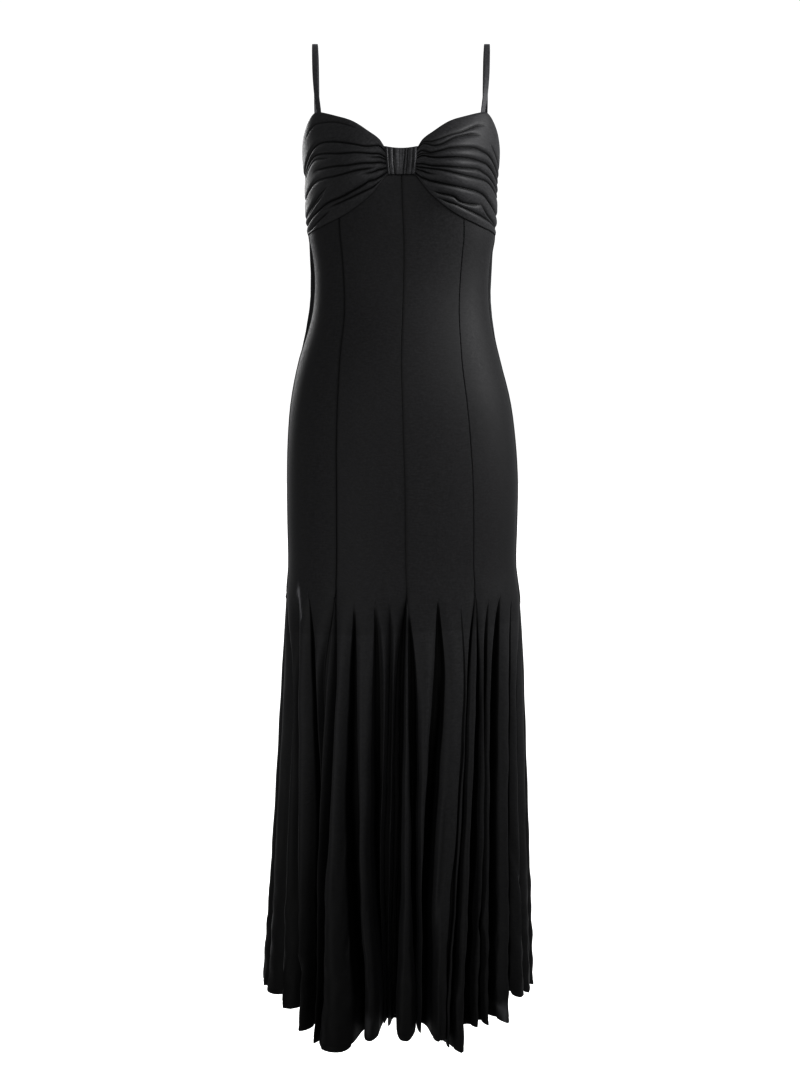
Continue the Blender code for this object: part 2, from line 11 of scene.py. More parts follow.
import bmesh
import bpy
import numpy as np
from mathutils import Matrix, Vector


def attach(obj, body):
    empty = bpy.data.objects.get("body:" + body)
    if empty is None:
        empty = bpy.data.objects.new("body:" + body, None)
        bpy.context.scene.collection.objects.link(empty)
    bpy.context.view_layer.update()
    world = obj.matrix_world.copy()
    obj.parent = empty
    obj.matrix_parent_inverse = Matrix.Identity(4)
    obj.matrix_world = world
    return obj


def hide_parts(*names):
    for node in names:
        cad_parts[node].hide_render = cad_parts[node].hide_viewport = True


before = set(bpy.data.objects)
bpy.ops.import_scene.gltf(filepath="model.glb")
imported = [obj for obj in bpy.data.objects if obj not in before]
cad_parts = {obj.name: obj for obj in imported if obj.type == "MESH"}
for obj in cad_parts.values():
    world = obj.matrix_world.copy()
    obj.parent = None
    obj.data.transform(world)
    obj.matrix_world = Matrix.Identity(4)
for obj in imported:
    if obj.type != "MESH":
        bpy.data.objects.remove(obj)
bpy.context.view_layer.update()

MM = 0.001
JERSEY_WALL = 0.9 * MM
SLIP_WALL = 0.5 * MM
STRAP_WALL = 1.5 * MM
HEM = -1.376

# ---- the form under the cloth

# Height, half width, depth in front of the side seams, depth behind them, sway to the right (mm).
SECTIONS = (
    (-0.080, 0.1400, 0.078, 0.082, 0.0),
    (-0.150, 0.1400, 0.096, 0.088, 0.0),
    (-0.200, 0.1365, 0.101, 0.088, 0.4),
    (-0.255, 0.1350, 0.097, 0.086, 0.4),
    (-0.283, 0.1335, 0.093, 0.084, 1.3),
    (-0.312, 0.1280, 0.089, 0.082, 1.4),
    (-0.355, 0.1258, 0.086, 0.081, 0.8),
    (-0.399, 0.1300, 0.090, 0.085, -0.2),
    (-0.457, 0.1451, 0.101, 0.098, -2.1),
    (-0.515, 0.1580, 0.107, 0.112, -0.5),
    (-0.573, 0.1641, 0.107, 0.122, 1.0),
    (-0.631, 0.1663, 0.105, 0.124, 2.2),
    (-0.690, 0.1657, 0.103, 0.120, 2.0),
    (-0.750, 0.1645, 0.102, 0.114, 1.8),
    (-0.805, 0.1697, 0.106, 0.114, 2.9),
    (-0.900, 0.1760, 0.120, 0.128, 3.0),
    (-1.080, 0.1847, 0.145, 0.151, 0.7),
    (-1.240, 0.1920, 0.164, 0.168, -1.9),
    (-1.400, 0.2005, 0.183, 0.185, -4.5),
)
BUST_RISE = 0.024
BUST_OFFSET = 0.074
BUST_HEIGHT = -0.190
BUST_HALF_WIDTH = 0.036
BUST_ABOVE = 0.046
BUST_BELOW = 0.036

# ---- gores and godets

# Height, then the angles of the centre front, front right, front left and back princess seams.
SEAMS = (
    (-0.200, 0.0, 40.0, 39.0, 140.0),
    (-0.270, 1.0, 41.0, 40.5, 139.5),
    (-0.330, 1.2, 41.5, 41.0, 139.0),
    (-0.400, 0.8, 39.5, 38.0, 141.0),
    (-0.490, 0.8, 36.5, 34.5, 143.0),
    (-0.600, 1.0, 36.5, 34.0, 143.5),
    (-0.700, 1.5, 37.5, 34.0, 143.0),
    (-0.785, 2.0, 38.0, 34.5, 142.5),
)
GODET_TOPS = {"centre": -0.781, "princess": -0.779, "side": -0.752}

FOLD_START = -0.785
FOLD_LEVELS = (-0.900, -1.080, -1.200, -1.330)

# The folds of each piece round the dress. A row is one fold and the valley after it: how far in
# the fold and the valley stand at the hem (mm), how far the hem drops at the fold (mm), the height
# where the valley opens, how far the right edge leans back (as a share of the valley, the left
# edge where it is negative), the fold's angle at the fold start, then the left and right edges of
# its broad face at each of the fold levels.
FOLDS = {
    "godet_front": (
        (0, 50, 1, -0.812, 0.25, 2.0, 0.9, 2.5, 0.6, 4.2, 0.2, 5.6, -0.8, 8.0),
    ),
    "gore_front_right": (
        (6, 55, -6, -0.793, 0.10, 10.0, 6.6, 15.2, 8.0, 11.3, 8.4, 10.2, 8.9, 10.0),
        (0, 12, 5, -0.800, 0.05, 24.0, 20.6, 28.8, 16.6, 24.9, 15.0, 21.5, 14.8, 19.2),
        (0, 50, 14, -0.782, 0.10, 32.5, 30.0, 31.2, 26.4, 27.6, 23.4, 24.6, 20.4, 21.6),
    ),
    "godet_front_right": (
        (0, 50, 24, -0.790, 0.20, 37.8, 33.4, 37.9, 30.0, 34.2, 27.6, 32.2, 24.4, 29.8),
    ),
    "gore_side_front_right": (
        (8, 40, -3, -0.798, 0.10, 43.0, 40.2, 41.2, 39.6, 40.8, 37.6, 38.8, 34.6, 36.6),
        (8, 58, -3, -0.794, 0.10, 49.0, 44.4, 46.6, 42.0, 44.6, 41.6, 44.4, 40.0, 43.0),
        (0, 42, 0, -0.802, 0.05, 61.5, 53.8, 61.4, 51.6, 57.0, 51.0, 55.4, 48.6, 53.8),
        (0, 40, -24, -0.805, 0.05, 71.5, 63.2, 69.8, 60.2, 66.6, 59.8, 67.4, 59.0, 67.8),
    ),
    "godet_side_right": (
        (0, 42, -19, -0.790, 0.15, 90.0, 72.0, 85.0, 69.6, 84.5, 70.4, 84.5, 71.0, 82.5),
        (0, 48, -14, -0.795, 0.10, 90.0, 89.0, 95.0, 87.6, 95.4, 87.2, 95.6, 86.0, 94.6),
        (2, 52, -12, -0.785, 0.25, 90.0, 97.6, 102.6, 98.4, 106.0, 98.2, 106.4, 98.6, 107.6),
    ),
    "gore_side_back_right": (
        (0, 44, -4, -0.810, -0.15, 110.0, 106.0, 114.4, 109.4, 116.4, 109.2, 118.6, 110.4, 119.4),
        (3, 50, 2, -0.792, 0.20, 124.0, 118.6, 126.4, 120.4, 126.6, 121.6, 127.6, 123.0, 129.0),
        (0, 52, -2, -0.788, 0.10, 134.0, 129.6, 136.4, 131.0, 137.8, 130.6, 138.6, 132.2, 140.6),
    ),
    "godet_back_right": (
        (0, 48, 4, -0.790, 0.25, 142.5, 140.6, 145.4, 141.6, 148.6, 142.4, 150.2, 143.4, 151.2),
    ),
    "gore_back_right": (
        (4, 42, 8, -0.815, -0.10, 152.0, 149.4, 157.6, 152.6, 159.6, 153.2, 160.4, 154.2, 162.0),
        (0, 54, 2, -0.786, 0.20, 166.0, 161.6, 170.6, 163.4, 171.8, 163.8, 172.8, 164.8, 173.2),
    ),
    "godet_back": (
        (0, 50, -3, -0.790, 0.15, 180.0, 177.0, 181.6, 176.2, 183.2, 176.4, 183.8, 176.4, 184.8),
    ),
    "gore_back_left": (
        (3, 46, 5, -0.808, -0.20, -166.0, -172.4, -164.0, -172.4, -165.2, -172.4, -164.8, -172.4, -163.6),
        (0, 52, 9, -0.790, 0.10, -153.0, -160.4, -151.6, -160.8, -153.4, -161.2, -153.0, -161.2, -153.4),
    ),
    "godet_back_left": (
        (0, 50, 2, -0.790, 0.20, -142.5, -146.6, -141.6, -149.6, -142.4, -150.2, -142.8, -150.8, -143.2),
    ),
    "gore_side_back_left": (
        (2, 48, -3, -0.800, -0.15, -133.0, -137.4, -129.4, -138.4, -131.6, -138.8, -132.0, -139.2, -131.8),
        (0, 52, 4, -0.788, 0.25, -122.0, -126.0, -118.8, -127.0, -121.0, -128.4, -121.6, -128.6, -121.4),
        (4, 46, -5, -0.795, 0.10, -109.0, -114.6, -106.8, -116.6, -109.6, -117.0, -110.4, -117.6, -110.2),
    ),
    "godet_side_left": (
        (0, 50, -12, -0.785, 0.20, -90.0, -102.4, -97.4, -106.0, -98.8, -106.4, -98.6, -106.6, -98.4),
        (0, 42, -16, -0.800, -0.10, -90.0, -94.0, -87.4, -95.0, -87.2, -94.8, -86.4, -94.4, -84.6),
        (2, 44, -20, -0.790, 0.25, -90.0, -83.4, -68.8, -83.4, -67.2, -82.4, -67.2, -79.6, -65.6),
    ),
    "gore_side_front_left": (
        (4, 46, -12, -0.796, 0.45, -65.0, -66.2, -62.6, -65.0, -59.0, -64.6, -56.6, -62.8, -52.8),
        (0, 54, 7, -0.788, 0.20, -59.0, -59.6, -53.0, -54.8, -47.4, -51.2, -46.4, -46.6, -42.8),
        (34, 50, 0, -0.792, 0.20, -47.5, -49.0, -46.0, -44.4, -43.2, -42.8, -41.6, -39.6, -38.6),
    ),
    "godet_front_left": (
        (0, 50, 18, -0.788, 0.30, -34.7, -38.2, -36.0, -39.6, -38.2, -38.4, -37.2, -36.8, -35.8),
    ),
    "gore_front_left": (
        (-4, 54, 22, -0.805, 0.08, -29.0, -33.1, -27.0, -34.0, -27.8, -35.0, -25.6, -34.0, -20.2),
        (0, 60, 3, -0.802, 0.10, -18.4, -22.5, -15.2, -20.0, -15.4, -17.8, -13.2, -14.6, -8.6),
        (40, 62, -7, -0.800, 0.20, -8.8, -10.6, -7.6, -10.8, -9.4, -11.0, -10.0, -8.0, -7.2),
        (44, 66, -2, -0.790, 0.20, -4.0, -5.4, -3.8, -6.0, -4.8, -6.8, -5.4, -6.4, -5.2),
    ),
}
# Soft creases in the broad faces: angle at the top and at the bottom, height of the top and of
# the bottom, half width (degrees) and depth (mm).
FACE_CREASES = (
    (-26.4, -29.6, -1.08, -1.27, 1.3, 2.4),
    (-24.4, -21.4, -1.22, -1.42, 0.5, 7.0),
    (-15.8, -14.0, -1.10, -1.26, 0.9, 2.4),
    (-16.6, -12.6, -1.21, -1.36, 0.8, 1.8),
    (-12.0, -13.6, -1.26, -1.38, 0.7, 1.4),
    (21.4, 15.4, -1.02, -1.26, 1.6, 5.5),
    (18.2, 16.8, -1.24, -1.40, 1.0, 3.2),
    (1.2, 1.9, -1.23, -1.36, 0.7, 1.5),
    (3.8, 5.8, -1.19, -1.34, 0.8, 1.8),
    (36.6, 38.0, -1.04, -1.30, 1.4, 3.4),
    (37.4, 38.9, -1.20, -1.38, 0.7, 2.4),
    (57.5, 74.0, -1.10, -1.32, 2.2, 3.6),
    (60.0, 66.0, -1.22, -1.34, 1.6, 2.4),
    (24.6, 27.5, -1.25, -1.42, 1.0, 2.6),
    (33.2, 29.4, -0.98, -1.22, 0.8, 1.5),
    (-47.0, -45.6, -1.18, -1.40, 1.4, 2.2),
    (-60.5, -57.0, -1.02, -1.40, 2.0, 2.8),
    (-74.0, -73.0, -0.96, -1.30, 3.0, 3.0),
    (-30.6, -31.4, -0.92, -1.16, 1.4, 1.2),
    (79.0, 76.0, -0.98, -1.36, 3.0, 3.0),
    (113.0, 115.0, -1.02, -1.38, 1.8, 2.8),
    (134.4, 137.6, -1.10, -1.40, 1.5, 3.4),
    (146.0, 148.8, -1.00, -1.28, 1.2, 2.2),
    (168.6, 167.0, -1.06, -1.40, 1.6, 3.6),
    (180.6, 182.6, -1.16, -1.40, 1.2, 2.6),
    (-157.6, -156.0, -1.04, -1.36, 1.5, 3.0),
    (-168.0, -169.6, -0.98, -1.26, 1.2, 2.0),
    (-135.6, -134.4, -1.12, -1.40, 1.4, 3.2),
    (-124.0, -126.4, -1.00, -1.30, 1.4, 2.4),
    (-113.0, -114.2, -1.08, -1.40, 1.5, 3.0),
)
# How far the lines sway (degrees), and the depth of the cloth's crinkles and rumples.
SWAY = 0.28
CRINKLE = 1.4 * MM
RUMPLE = 0.6 * MM
# The power of the share of the way down by which valleys and folds deepen.
VALLEY_GROWTH = 0.54
FOLD_GROWTH = 0.88
# How far from the valleys a fold's edges start (degrees), then the shares of the flank that its
# rounded shoulder takes and that the face overhangs.
OPENING = 0.25
SHOULDER = 0.12
UNDERCUT = 0.10
# How far a face rounds back to its edges: at most so far and at most this share of the valley.
FACE_ROUND = 14.0 * MM
FACE_SHARE = 0.30
# How dark the shade painted on a leaning edge gets, and the valley's depth from which it is in full.
LEAN_SHADE = 1.5
LEAN_DEPTH = 20 * MM
# The strips between two lines, a gore's rows above the folds and a skirt piece's rows up to the
# folds' top. Some lie close together at the hem, and some in the top share of a gore.
STRIPS = 10
GORE_TOP_ROWS = 34
FOLDED_LEVELS = 92
FOLDED_TOP = FOLD_START + 0.03
HEM_ROWS = 8
EDGE_ROWS = 6
EDGE_SHARE = 0.025
# The height where a gore's place is matched to its top edge, and how far inside the piece.
NEAR_TOP = -0.24
INSIDE = 1e-4
# A long seam turns in, the flat one less, with a ridge on the left front gore beside its side
# front seam, and shade is painted along it. The cloth puckers at a godet's point.
SEAM_TURN_IN = 0.5 * MM
SEAM_TURN_WIDTH = 1.3 * MM
SEAM_SHADE_WIDTH = 0.9 * MM
SEAM_RIDGE = 0.35 * MM
FLAT_SEAM = 0.25
GODET_PUCKER = 1.6 * MM
PUCKER_WIDTH = 7 * MM
PUCKER_LENGTH = 9 * MM
PUCKER_BELOW = 4 * MM
# The hem: its depth and stitching, the shade painted along the stitching, how far a fold's corners
# rise, the width from which they rise in full, the skirt's radius and the hem's waves.
HEM_TURN = 7.0 * MM
STITCH_DIP = 0.5 * MM
STITCH_SHADE = 0.3
HEM_CORNER = 9.0 * MM
BROAD_FOLD = 0.026
HEM_REACH = 0.19
HEM_WAVE = 1.3 * MM
# How dark the shade painted along the stitched line of each long seam is.
SEAM_SHADES = {
    "front": 0.75, "front_left": 0.95, "front_right": 0.0, "side_left": 0.5, "side_right": 0.5,
    "back_left": 0.7, "back_right": 0.7, "back": 0.7,
}
# Painted light where a single stretched layer lets light through: the angles and then the heights
# of both ends, half width (mm) and strength.
PAINTED_LIGHT_PLACES = (
    (-62.4, -58.6, -0.782, -0.820, 4.8, 0.75),
    (-41.2, -41.3, -1.364, -1.377, 3.0, 0.20),
    (-12.6, -12.4, -1.352, -1.372, 6.0, 0.20),
    (49.4, 49.6, -1.354, -1.374, 3.6, 0.45),
    (-6.6, -6.7, -1.270, -1.312, 2.6, 0.15),
    (80.0, 82.0, -0.660, -0.900, 9.0, 0.05),
)

# ---- bodice, loop, straps, slip

# Angle from the centre front, height of the cup's top edge, height of the bust seam.
CUP_EDGES = (
    (0.0, -0.1665, -0.1985),
    (8.5, -0.1630, -0.2000),
    (9.6, -0.1600, -0.2025),
    (12.4, -0.1495, -0.2110),
    (18.0, -0.1390, -0.2260),
    (28.5, -0.1225, -0.2440),
    (39.5, -0.1135, -0.2560),
    (54.0, -0.1050, -0.2655),
    (60.0, -0.1045, -0.2685),
    (66.0, -0.1105, -0.2705),
    (76.0, -0.1265, -0.2735),
    (90.0, -0.1500, -0.2765),
)
BACK_NECKLINE = (
    (90.0, -0.1500),
    (105.0, -0.1600),
    (125.0, -0.1770),
    (150.0, -0.1930),
    (180.0, -0.1990),
)
CUP_EDGE_LIFT = 1.5 * MM
CREST_LIFTS = (2.6 * MM, 3.7 * MM)
CREASE_LIMIT = 6.5 * MM
# How far a crease's sharp core, its soft sides and its painted shade reach.
CREASE_CORE = 0.95 * MM
CREASE_SIDES = 3.4 * MM
CREASE_SHADE = 1.15 * MM
# The height of the cup from which its creases have their full width.
FULL_CUP = 0.11
# The creases of each cup: how deep each is (mm), then its path from the centre outwards as the
# angle from the centre front and the share of the way down from the top edge to the bust seam.
CUP_CREASES = {
    "cup_left": (
        (0.9, ((24, 0.08), (40, 0.07), (52, 0.10), (62, 0.12), (74, 0.15))),
        (2.6, ((4, 0.12), (10, 0.14), (20, 0.26), (28, 0.28), (40, 0.27), (52, 0.28),
               (66, 0.33), (90, 0.37))),
        (2.4, ((4, 0.33), (10, 0.34), (22, 0.37), (35, 0.39), (47, 0.38), (56, 0.38),
               (67, 0.39), (90, 0.41))),
        (1.8, ((4, 0.43), (10, 0.42), (16, 0.42), (24, 0.41))),
        (1.3, ((42, 0.43), (60, 0.42), (69, 0.43), (90, 0.46))),
        (2.3, ((4, 0.56), (10, 0.55), (16, 0.52), (22, 0.51), (32, 0.52), (40, 0.51),
               (52, 0.51), (64, 0.52))),
        (2.0, ((14, 0.60), (24, 0.59), (38, 0.60), (57, 0.60), (72, 0.62), (90, 0.64))),
        (2.6, ((4, 0.74), (10, 0.72), (14, 0.68), (26, 0.64))),
        (3.8, ((4, 0.90), (10, 0.88), (19, 0.78), (23, 0.79), (36, 0.81), (49, 0.82),
               (58, 0.85), (74, 0.89), (90, 0.92))),
        (2.2, ((9, 0.97), (18, 0.90), (25, 0.87), (39, 0.86), (52, 0.87))),
        (1.8, ((46, 0.67), (55, 0.72), (65, 0.78), (74, 0.81), (90, 0.84))),
        (1.2, ((50, 0.73), (60, 0.78), (68, 0.82), (82, 0.86))),
        (1.8, ((44, 0.89), (56, 0.93), (70, 0.97), (86, 0.985))),
    ),
    "cup_right": (
        (1.2, ((4, 0.01), (10, 0.03), (18, 0.16), (33, 0.17), (42, 0.14), (50, 0.12), (60, 0.13))),
        (2.2, ((4, 0.05), (10, 0.07), (20, 0.25), (33, 0.21), (42, 0.20), (54, 0.21))),
        (2.6, ((4, 0.20), (10, 0.22), (16, 0.33), (23, 0.34), (29, 0.33), (46, 0.33),
               (56, 0.36), (69, 0.38), (90, 0.40))),
        (3.4, ((4, 0.36), (10, 0.37), (21, 0.43), (41, 0.43), (56, 0.45), (68, 0.46), (90, 0.47))),
        (1.4, ((4, 0.29), (10, 0.31), (16, 0.36), (24, 0.40))),
        (2.5, ((4, 0.58), (10, 0.57), (20, 0.55), (31, 0.54), (49, 0.52), (58, 0.54),
               (76, 0.55), (90, 0.56))),
        (2.3, ((4, 0.69), (10, 0.67), (18, 0.60), (34, 0.60), (54, 0.60), (63, 0.60),
               (77, 0.61), (90, 0.62))),
        (2.0, ((4, 0.78), (10, 0.75), (18, 0.68), (24, 0.66))),
        (3.2, ((4, 0.95), (10, 0.92), (15, 0.83), (21, 0.77), (39, 0.72), (56, 0.72),
               (66, 0.76), (78, 0.79), (90, 0.81))),
        (3.2, ((17, 0.94), (26, 0.87), (32, 0.84), (37, 0.86), (47, 0.84), (58, 0.81))),
        (2.3, ((20, 0.97), (34, 0.91), (52, 0.91), (66, 0.92), (79, 0.93), (90, 0.94))),
        (2.2, ((52, 0.80), (58, 0.84), (64, 0.88), (79, 0.91), (90, 0.93))),
        (1.2, ((60, 0.26), (72, 0.29), (90, 0.31))),
    ),
}

# From behind the neckline over it and down the front: how far the loop stands out (mm), its
# height, how far its corners rise there (mm) and the share of its pleats.
LOOP_ROWS = (
    (-4.0, -0.1780, 0.0, 0.0),
    (-4.2, -0.1670, 1.0, 0.0),
    (-2.4, -0.1622, 2.0, 0.2),
    (0.6, -0.1612, 2.4, 0.5),
    (4.3, -0.1625, 2.0, 0.8),
    (5.0, -0.1680, 1.0, 1.0),
    (5.6, -0.1780, 0.0, 1.0),
    (5.4, -0.1890, 0.0, 1.0),
    (4.4, -0.1965, 0.0, 0.8),
    (3.6, -0.1990, 0.0, 0.6),
)
LOOP_HALF_WIDTHS = (0.0232, 0.0196)
# Its creases: offset from the centre at the top and at the bottom, and depth (mm).
LOOP_CREASES = (
    (-18.6, -15.6, 1.6),
    (-16.4, -13.9, 0.9),
    (-11.6, -9.4, 1.8),
    (-9.4, -7.4, 1.1),
    (-3.0, -3.6, 0.6),
    (1.4, 0.6, 0.5),
    (5.6, 2.6, 1.9),
    (9.6, 6.4, 1.7),
    (11.6, 8.8, 0.9),
    (17.0, 14.2, 1.6),
    (19.0, 16.2, 0.8),
)

# A strap's middle line: distance from the centre, distance behind the shoulder point, height,
# and how far the strap turns from facing the front.
STRAP_WIDTH = 8.0 * MM
STRAP_PATH = (
    (0.1160, -0.0445, -0.1140, 43),
    (0.1168, -0.0455, -0.1020, 42),
    (0.1200, -0.0440, -0.0780, 32),
    (0.1225, -0.0340, -0.0480, 20),
    (0.1238, -0.0180, -0.0170, 8),
    (0.1243, -0.0060, -0.0035, 2),
    (0.1245, 0.0040, 0.0008, 0),
    (0.1245, 0.0150, -0.0030, -2),
    (0.1243, 0.0290, -0.0190, -10),
    (0.1240, 0.0410, -0.0570, -22),
    (0.1233, 0.0450, -0.1080, -36),
    (0.1192, 0.0413, -0.1600, -47),
    (0.1175, 0.0401, -0.1800, -48),
)

LINING_TUCK = 0.012
LINING_HEM = -0.845
LINING_INSET = (
    (-0.290, 4.0 * MM),
    (-0.360, 2.8 * MM),
    (-0.700, 2.8 * MM),
    (-0.750, 4.0 * MM),
    (-0.780, 8.0 * MM),
    (-0.820, 15.0 * MM),
    (-0.853, 22.0 * MM),
)


# ---- curves and the form

def smooth(places, values, at):
    """A smooth line through the values, flat past both ends. The places rise or fall steadily."""
    places, values = np.asarray(places, float), np.asarray(values, float)
    if places[0] > places[-1]:
        places, values = places[::-1], values[::-1]
    at = np.clip(at, places[0], places[-1])
    before = np.concatenate(([0], np.arange(len(places) - 1)))
    after = np.minimum(np.arange(len(places)) + 1, len(places) - 1)
    slopes = (values[after] - values[before]) / (places[after] - places[before])
    i = np.clip(np.searchsorted(places, at, side="right") - 1, 0, len(places) - 2)
    span = places[i + 1] - places[i]
    t = (at - places[i]) / span
    return (
        values[i] * (2 * t**3 - 3 * t**2 + 1)
        + slopes[i] * span * (t**3 - 2 * t**2 + t)
        + values[i + 1] * (3 * t**2 - 2 * t**3)
        + slopes[i + 1] * span * (t**3 - t**2)
    )


def columns_of(table):
    return [np.array(column) for column in zip(*table)]


FORM_HEIGHTS, FORM_HALF_WIDTHS, FORM_FRONTS, FORM_BACKS, FORM_SWAYS = columns_of(SECTIONS)
SEAM_HEIGHTS, SEAM_CENTRE, SEAM_RIGHT, SEAM_LEFT, SEAM_BACK = columns_of(SEAMS)
EDGE_ANGLES, CUP_TOPS, BUST_SEAM = columns_of(CUP_EDGES)
NECK_ANGLES, NECK_HEIGHTS = columns_of(BACK_NECKLINE)
LINING_HEIGHTS, LINING_INSETS = columns_of(LINING_INSET)


def form(angle, height):
    """Points on the outer form of the dress, before any fold."""
    turn = np.radians(angle)
    half_width = smooth(FORM_HEIGHTS, FORM_HALF_WIDTHS, height)
    x = half_width * np.sin(turn)
    reach = np.where(height > BUST_HEIGHT, BUST_ABOVE, BUST_BELOW)
    across = ((np.abs(x) - BUST_OFFSET) / BUST_HALF_WIDTH) ** 2
    down = ((height - BUST_HEIGHT) / reach) ** 2
    bust = BUST_RISE * np.exp(-(across + down) / 2) * (1 - (x / half_width) ** 6)
    front = np.cos(turn) > 0
    depth = np.where(
        front, smooth(FORM_HEIGHTS, FORM_FRONTS, height), smooth(FORM_HEIGHTS, FORM_BACKS, height)
    )
    y = -depth * np.cos(turn) - np.where(front, bust, 0)
    sway = smooth(FORM_HEIGHTS, FORM_SWAYS, height) * MM
    return np.stack((x + sway, y, height + 0 * x), axis=-1)


def pulled_in(points, inset):
    keep = 1 - inset / np.hypot(points[..., 0], points[..., 1])
    return np.stack((points[..., 0] * keep, points[..., 1] * keep, points[..., 2]), axis=-1)


def outward(angle, height):
    """The form's outward normals."""
    round_it = form(angle + 0.01, height) - form(angle - 0.01, height)
    rise = form(angle, height + MM) - form(angle, height - MM)
    normal = np.cross(round_it, rise)
    return normal / np.linalg.norm(normal, axis=-1, keepdims=True)


def bump(at, middle, half_width):
    """1 at the middle, falling smoothly to 0 at half a width either side."""
    return np.cos(np.clip((at - middle) / half_width, -1, 1) * math.pi / 2) ** 2


def bell(at, width):
    """1 at 0, fading out beyond the width."""
    return np.exp(-((at / width) ** 2))


def ramp(t):
    """0 up to 0, 1 from 1 on and smooth between."""
    t = np.clip(t, 0, 1)
    return t * t * (3 - 2 * t)


# ---- skirt lines

def full_turn(angle, least):
    while angle < least:
        angle += 360
    return angle


def seam_angle(seam, height):
    """The angle of a long seam above its godet. A seam has its godet's name."""
    side = -1 if seam.endswith("left") else 1
    if seam == "front":
        return smooth(SEAM_HEIGHTS, SEAM_CENTRE, height)
    if seam == "back":
        return 180.0 + 0 * height
    if seam.startswith("side"):
        return side * 90.0 + 0 * height
    if seam.startswith("back"):
        return side * smooth(SEAM_HEIGHTS, SEAM_BACK, height)
    return side * smooth(SEAM_HEIGHTS, SEAM_LEFT if side < 0 else SEAM_RIGHT, height)


def seam_end(seam):
    if seam in ("front", "back"):
        return GODET_TOPS["centre"]
    return GODET_TOPS["side" if seam.startswith("side") else "princess"]


def godet_name(piece):
    return piece.removeprefix("godet_") if piece.startswith("godet_") else None


class Line:
    """A line down the skirt: the middle of a valley, where the seams lie, or the edge of a
    fold's broad face."""

    def __init__(self, levels, angles, inset_mm, drop_mm, opens, growth, seam=None, lean=0.0):
        self.levels = levels
        self.angles = angles
        self.inset = inset_mm * MM
        self.drop = drop_mm * MM
        self.opens = opens
        self.growth = growth
        self.seam = seam
        self.lean = lean
        self.ends = None
        self.phase = 2.4 * angles[1]

    def angle(self, height):
        below = smooth(self.levels, self.angles, height)
        sway = np.sin(27 * height + self.phase) + 0.6 * np.sin(61 * height + 2.1 * self.phase)
        below = below + SWAY * sway * ramp((FOLD_START - 0.05 - height) / 0.3)
        if self.seam:
            start = float(seam_angle(self.seam, self.levels[0]))
            above = seam_angle(self.seam, height) + full_turn(start, self.angles[0] - 90) - start
        else:
            left, right = (float(end.angle(self.levels[0])) for end in self.ends)
            share = 0 if left == right else (self.angles[0] - left) / (right - left)
            left, right = (end.angle(height) for end in self.ends)
            above = left + (right - left) * share
        return np.where(height < self.levels[0], below, above)

    def depth(self, height):
        share = np.clip((self.opens - height) / (self.opens - HEM), 0, 1.1)
        return self.inset * share**self.growth


def skirt_lines():
    """The skirt's lines in order: valley, left edge, right edge, valley and so on round to the
    first valley again. Also gives the numbers of the first and the last line of each piece."""
    folds = []
    middle, edges = 0.0, [0.0] * 8
    for piece, rows in FOLDS.items():
        for inset, valley_inset, drop, opens, lean, start, *faces in rows:
            middle = full_turn(start, middle)
            edges = [full_turn(edge, before - 30) for edge, before in zip(faces, edges)]
            leans = (max(-lean, 0.0), max(lean, 0.0))
            folds.append((piece, inset, valley_inset, drop, opens, leans, middle, edges[::2], edges[1::2]))
    valleys = []
    for i, (piece, _, valley_inset, drop, opens, _, middle, _, rights) in enumerate(folds):
        turn = 0 if i + 1 < len(folds) else 360
        next_piece, _, _, next_drop, _, _, next_middle, next_lefts, _ = folds[(i + 1) % len(folds)]
        godet = godet_name(piece) or godet_name(next_piece)
        seam = godet if piece != next_piece else None
        top = seam_end(godet) if godet else FOLD_START
        start = (middle + next_middle + turn) / 2
        if seam:
            start = full_turn(float(seam_angle(seam, top)), start - 90)
        lower = [(right + left + turn) / 2 for right, left in zip(rights, next_lefts)]
        if top == FOLD_START or seam:
            opens = min(opens, top - 2 * MM)
        valleys.append(
            Line(
                (top, *FOLD_LEVELS), (start, *lower), valley_inset, (drop + next_drop) / 2,
                opens, VALLEY_GROWTH, seam,
            )
        )
    first = valleys[-1]
    before = [angle - 360 for angle in first.angles]
    lines = [
        Line(
            first.levels, before, first.inset / MM, first.drop / MM,
            first.opens, first.growth, first.seam,
        )
    ]
    lines[0].phase = first.phase
    spans = {}
    for i, (piece, inset, _, drop, _, leans, middle, lefts, rights) in enumerate(folds):
        godet = godet_name(piece)
        top = seam_end(godet) if godet else FOLD_START
        starts = []
        for valley, side in ((lines[-1], 1), (valleys[i], -1)):
            near = valley.angles[0]
            narrow = min(OPENING, abs(middle - near) / 2)
            starts.append(near + side * narrow)
        spans.setdefault(piece, [3 * i, 0])[1] = 3 * i + 3
        for start, lower, lean in zip(starts, (lefts, rights), leans):
            levels = (top, *FOLD_LEVELS)
            lines.append(
                Line(levels, (start, *lower), inset, drop, FOLD_START, FOLD_GROWTH, lean=lean)
            )
        lines.append(valleys[i])
    for left, right in spans.values():
        for line in lines[left + 1 : right]:
            line.ends = (lines[left], lines[right])
    return lines, spans


LINES, SPANS = skirt_lines()


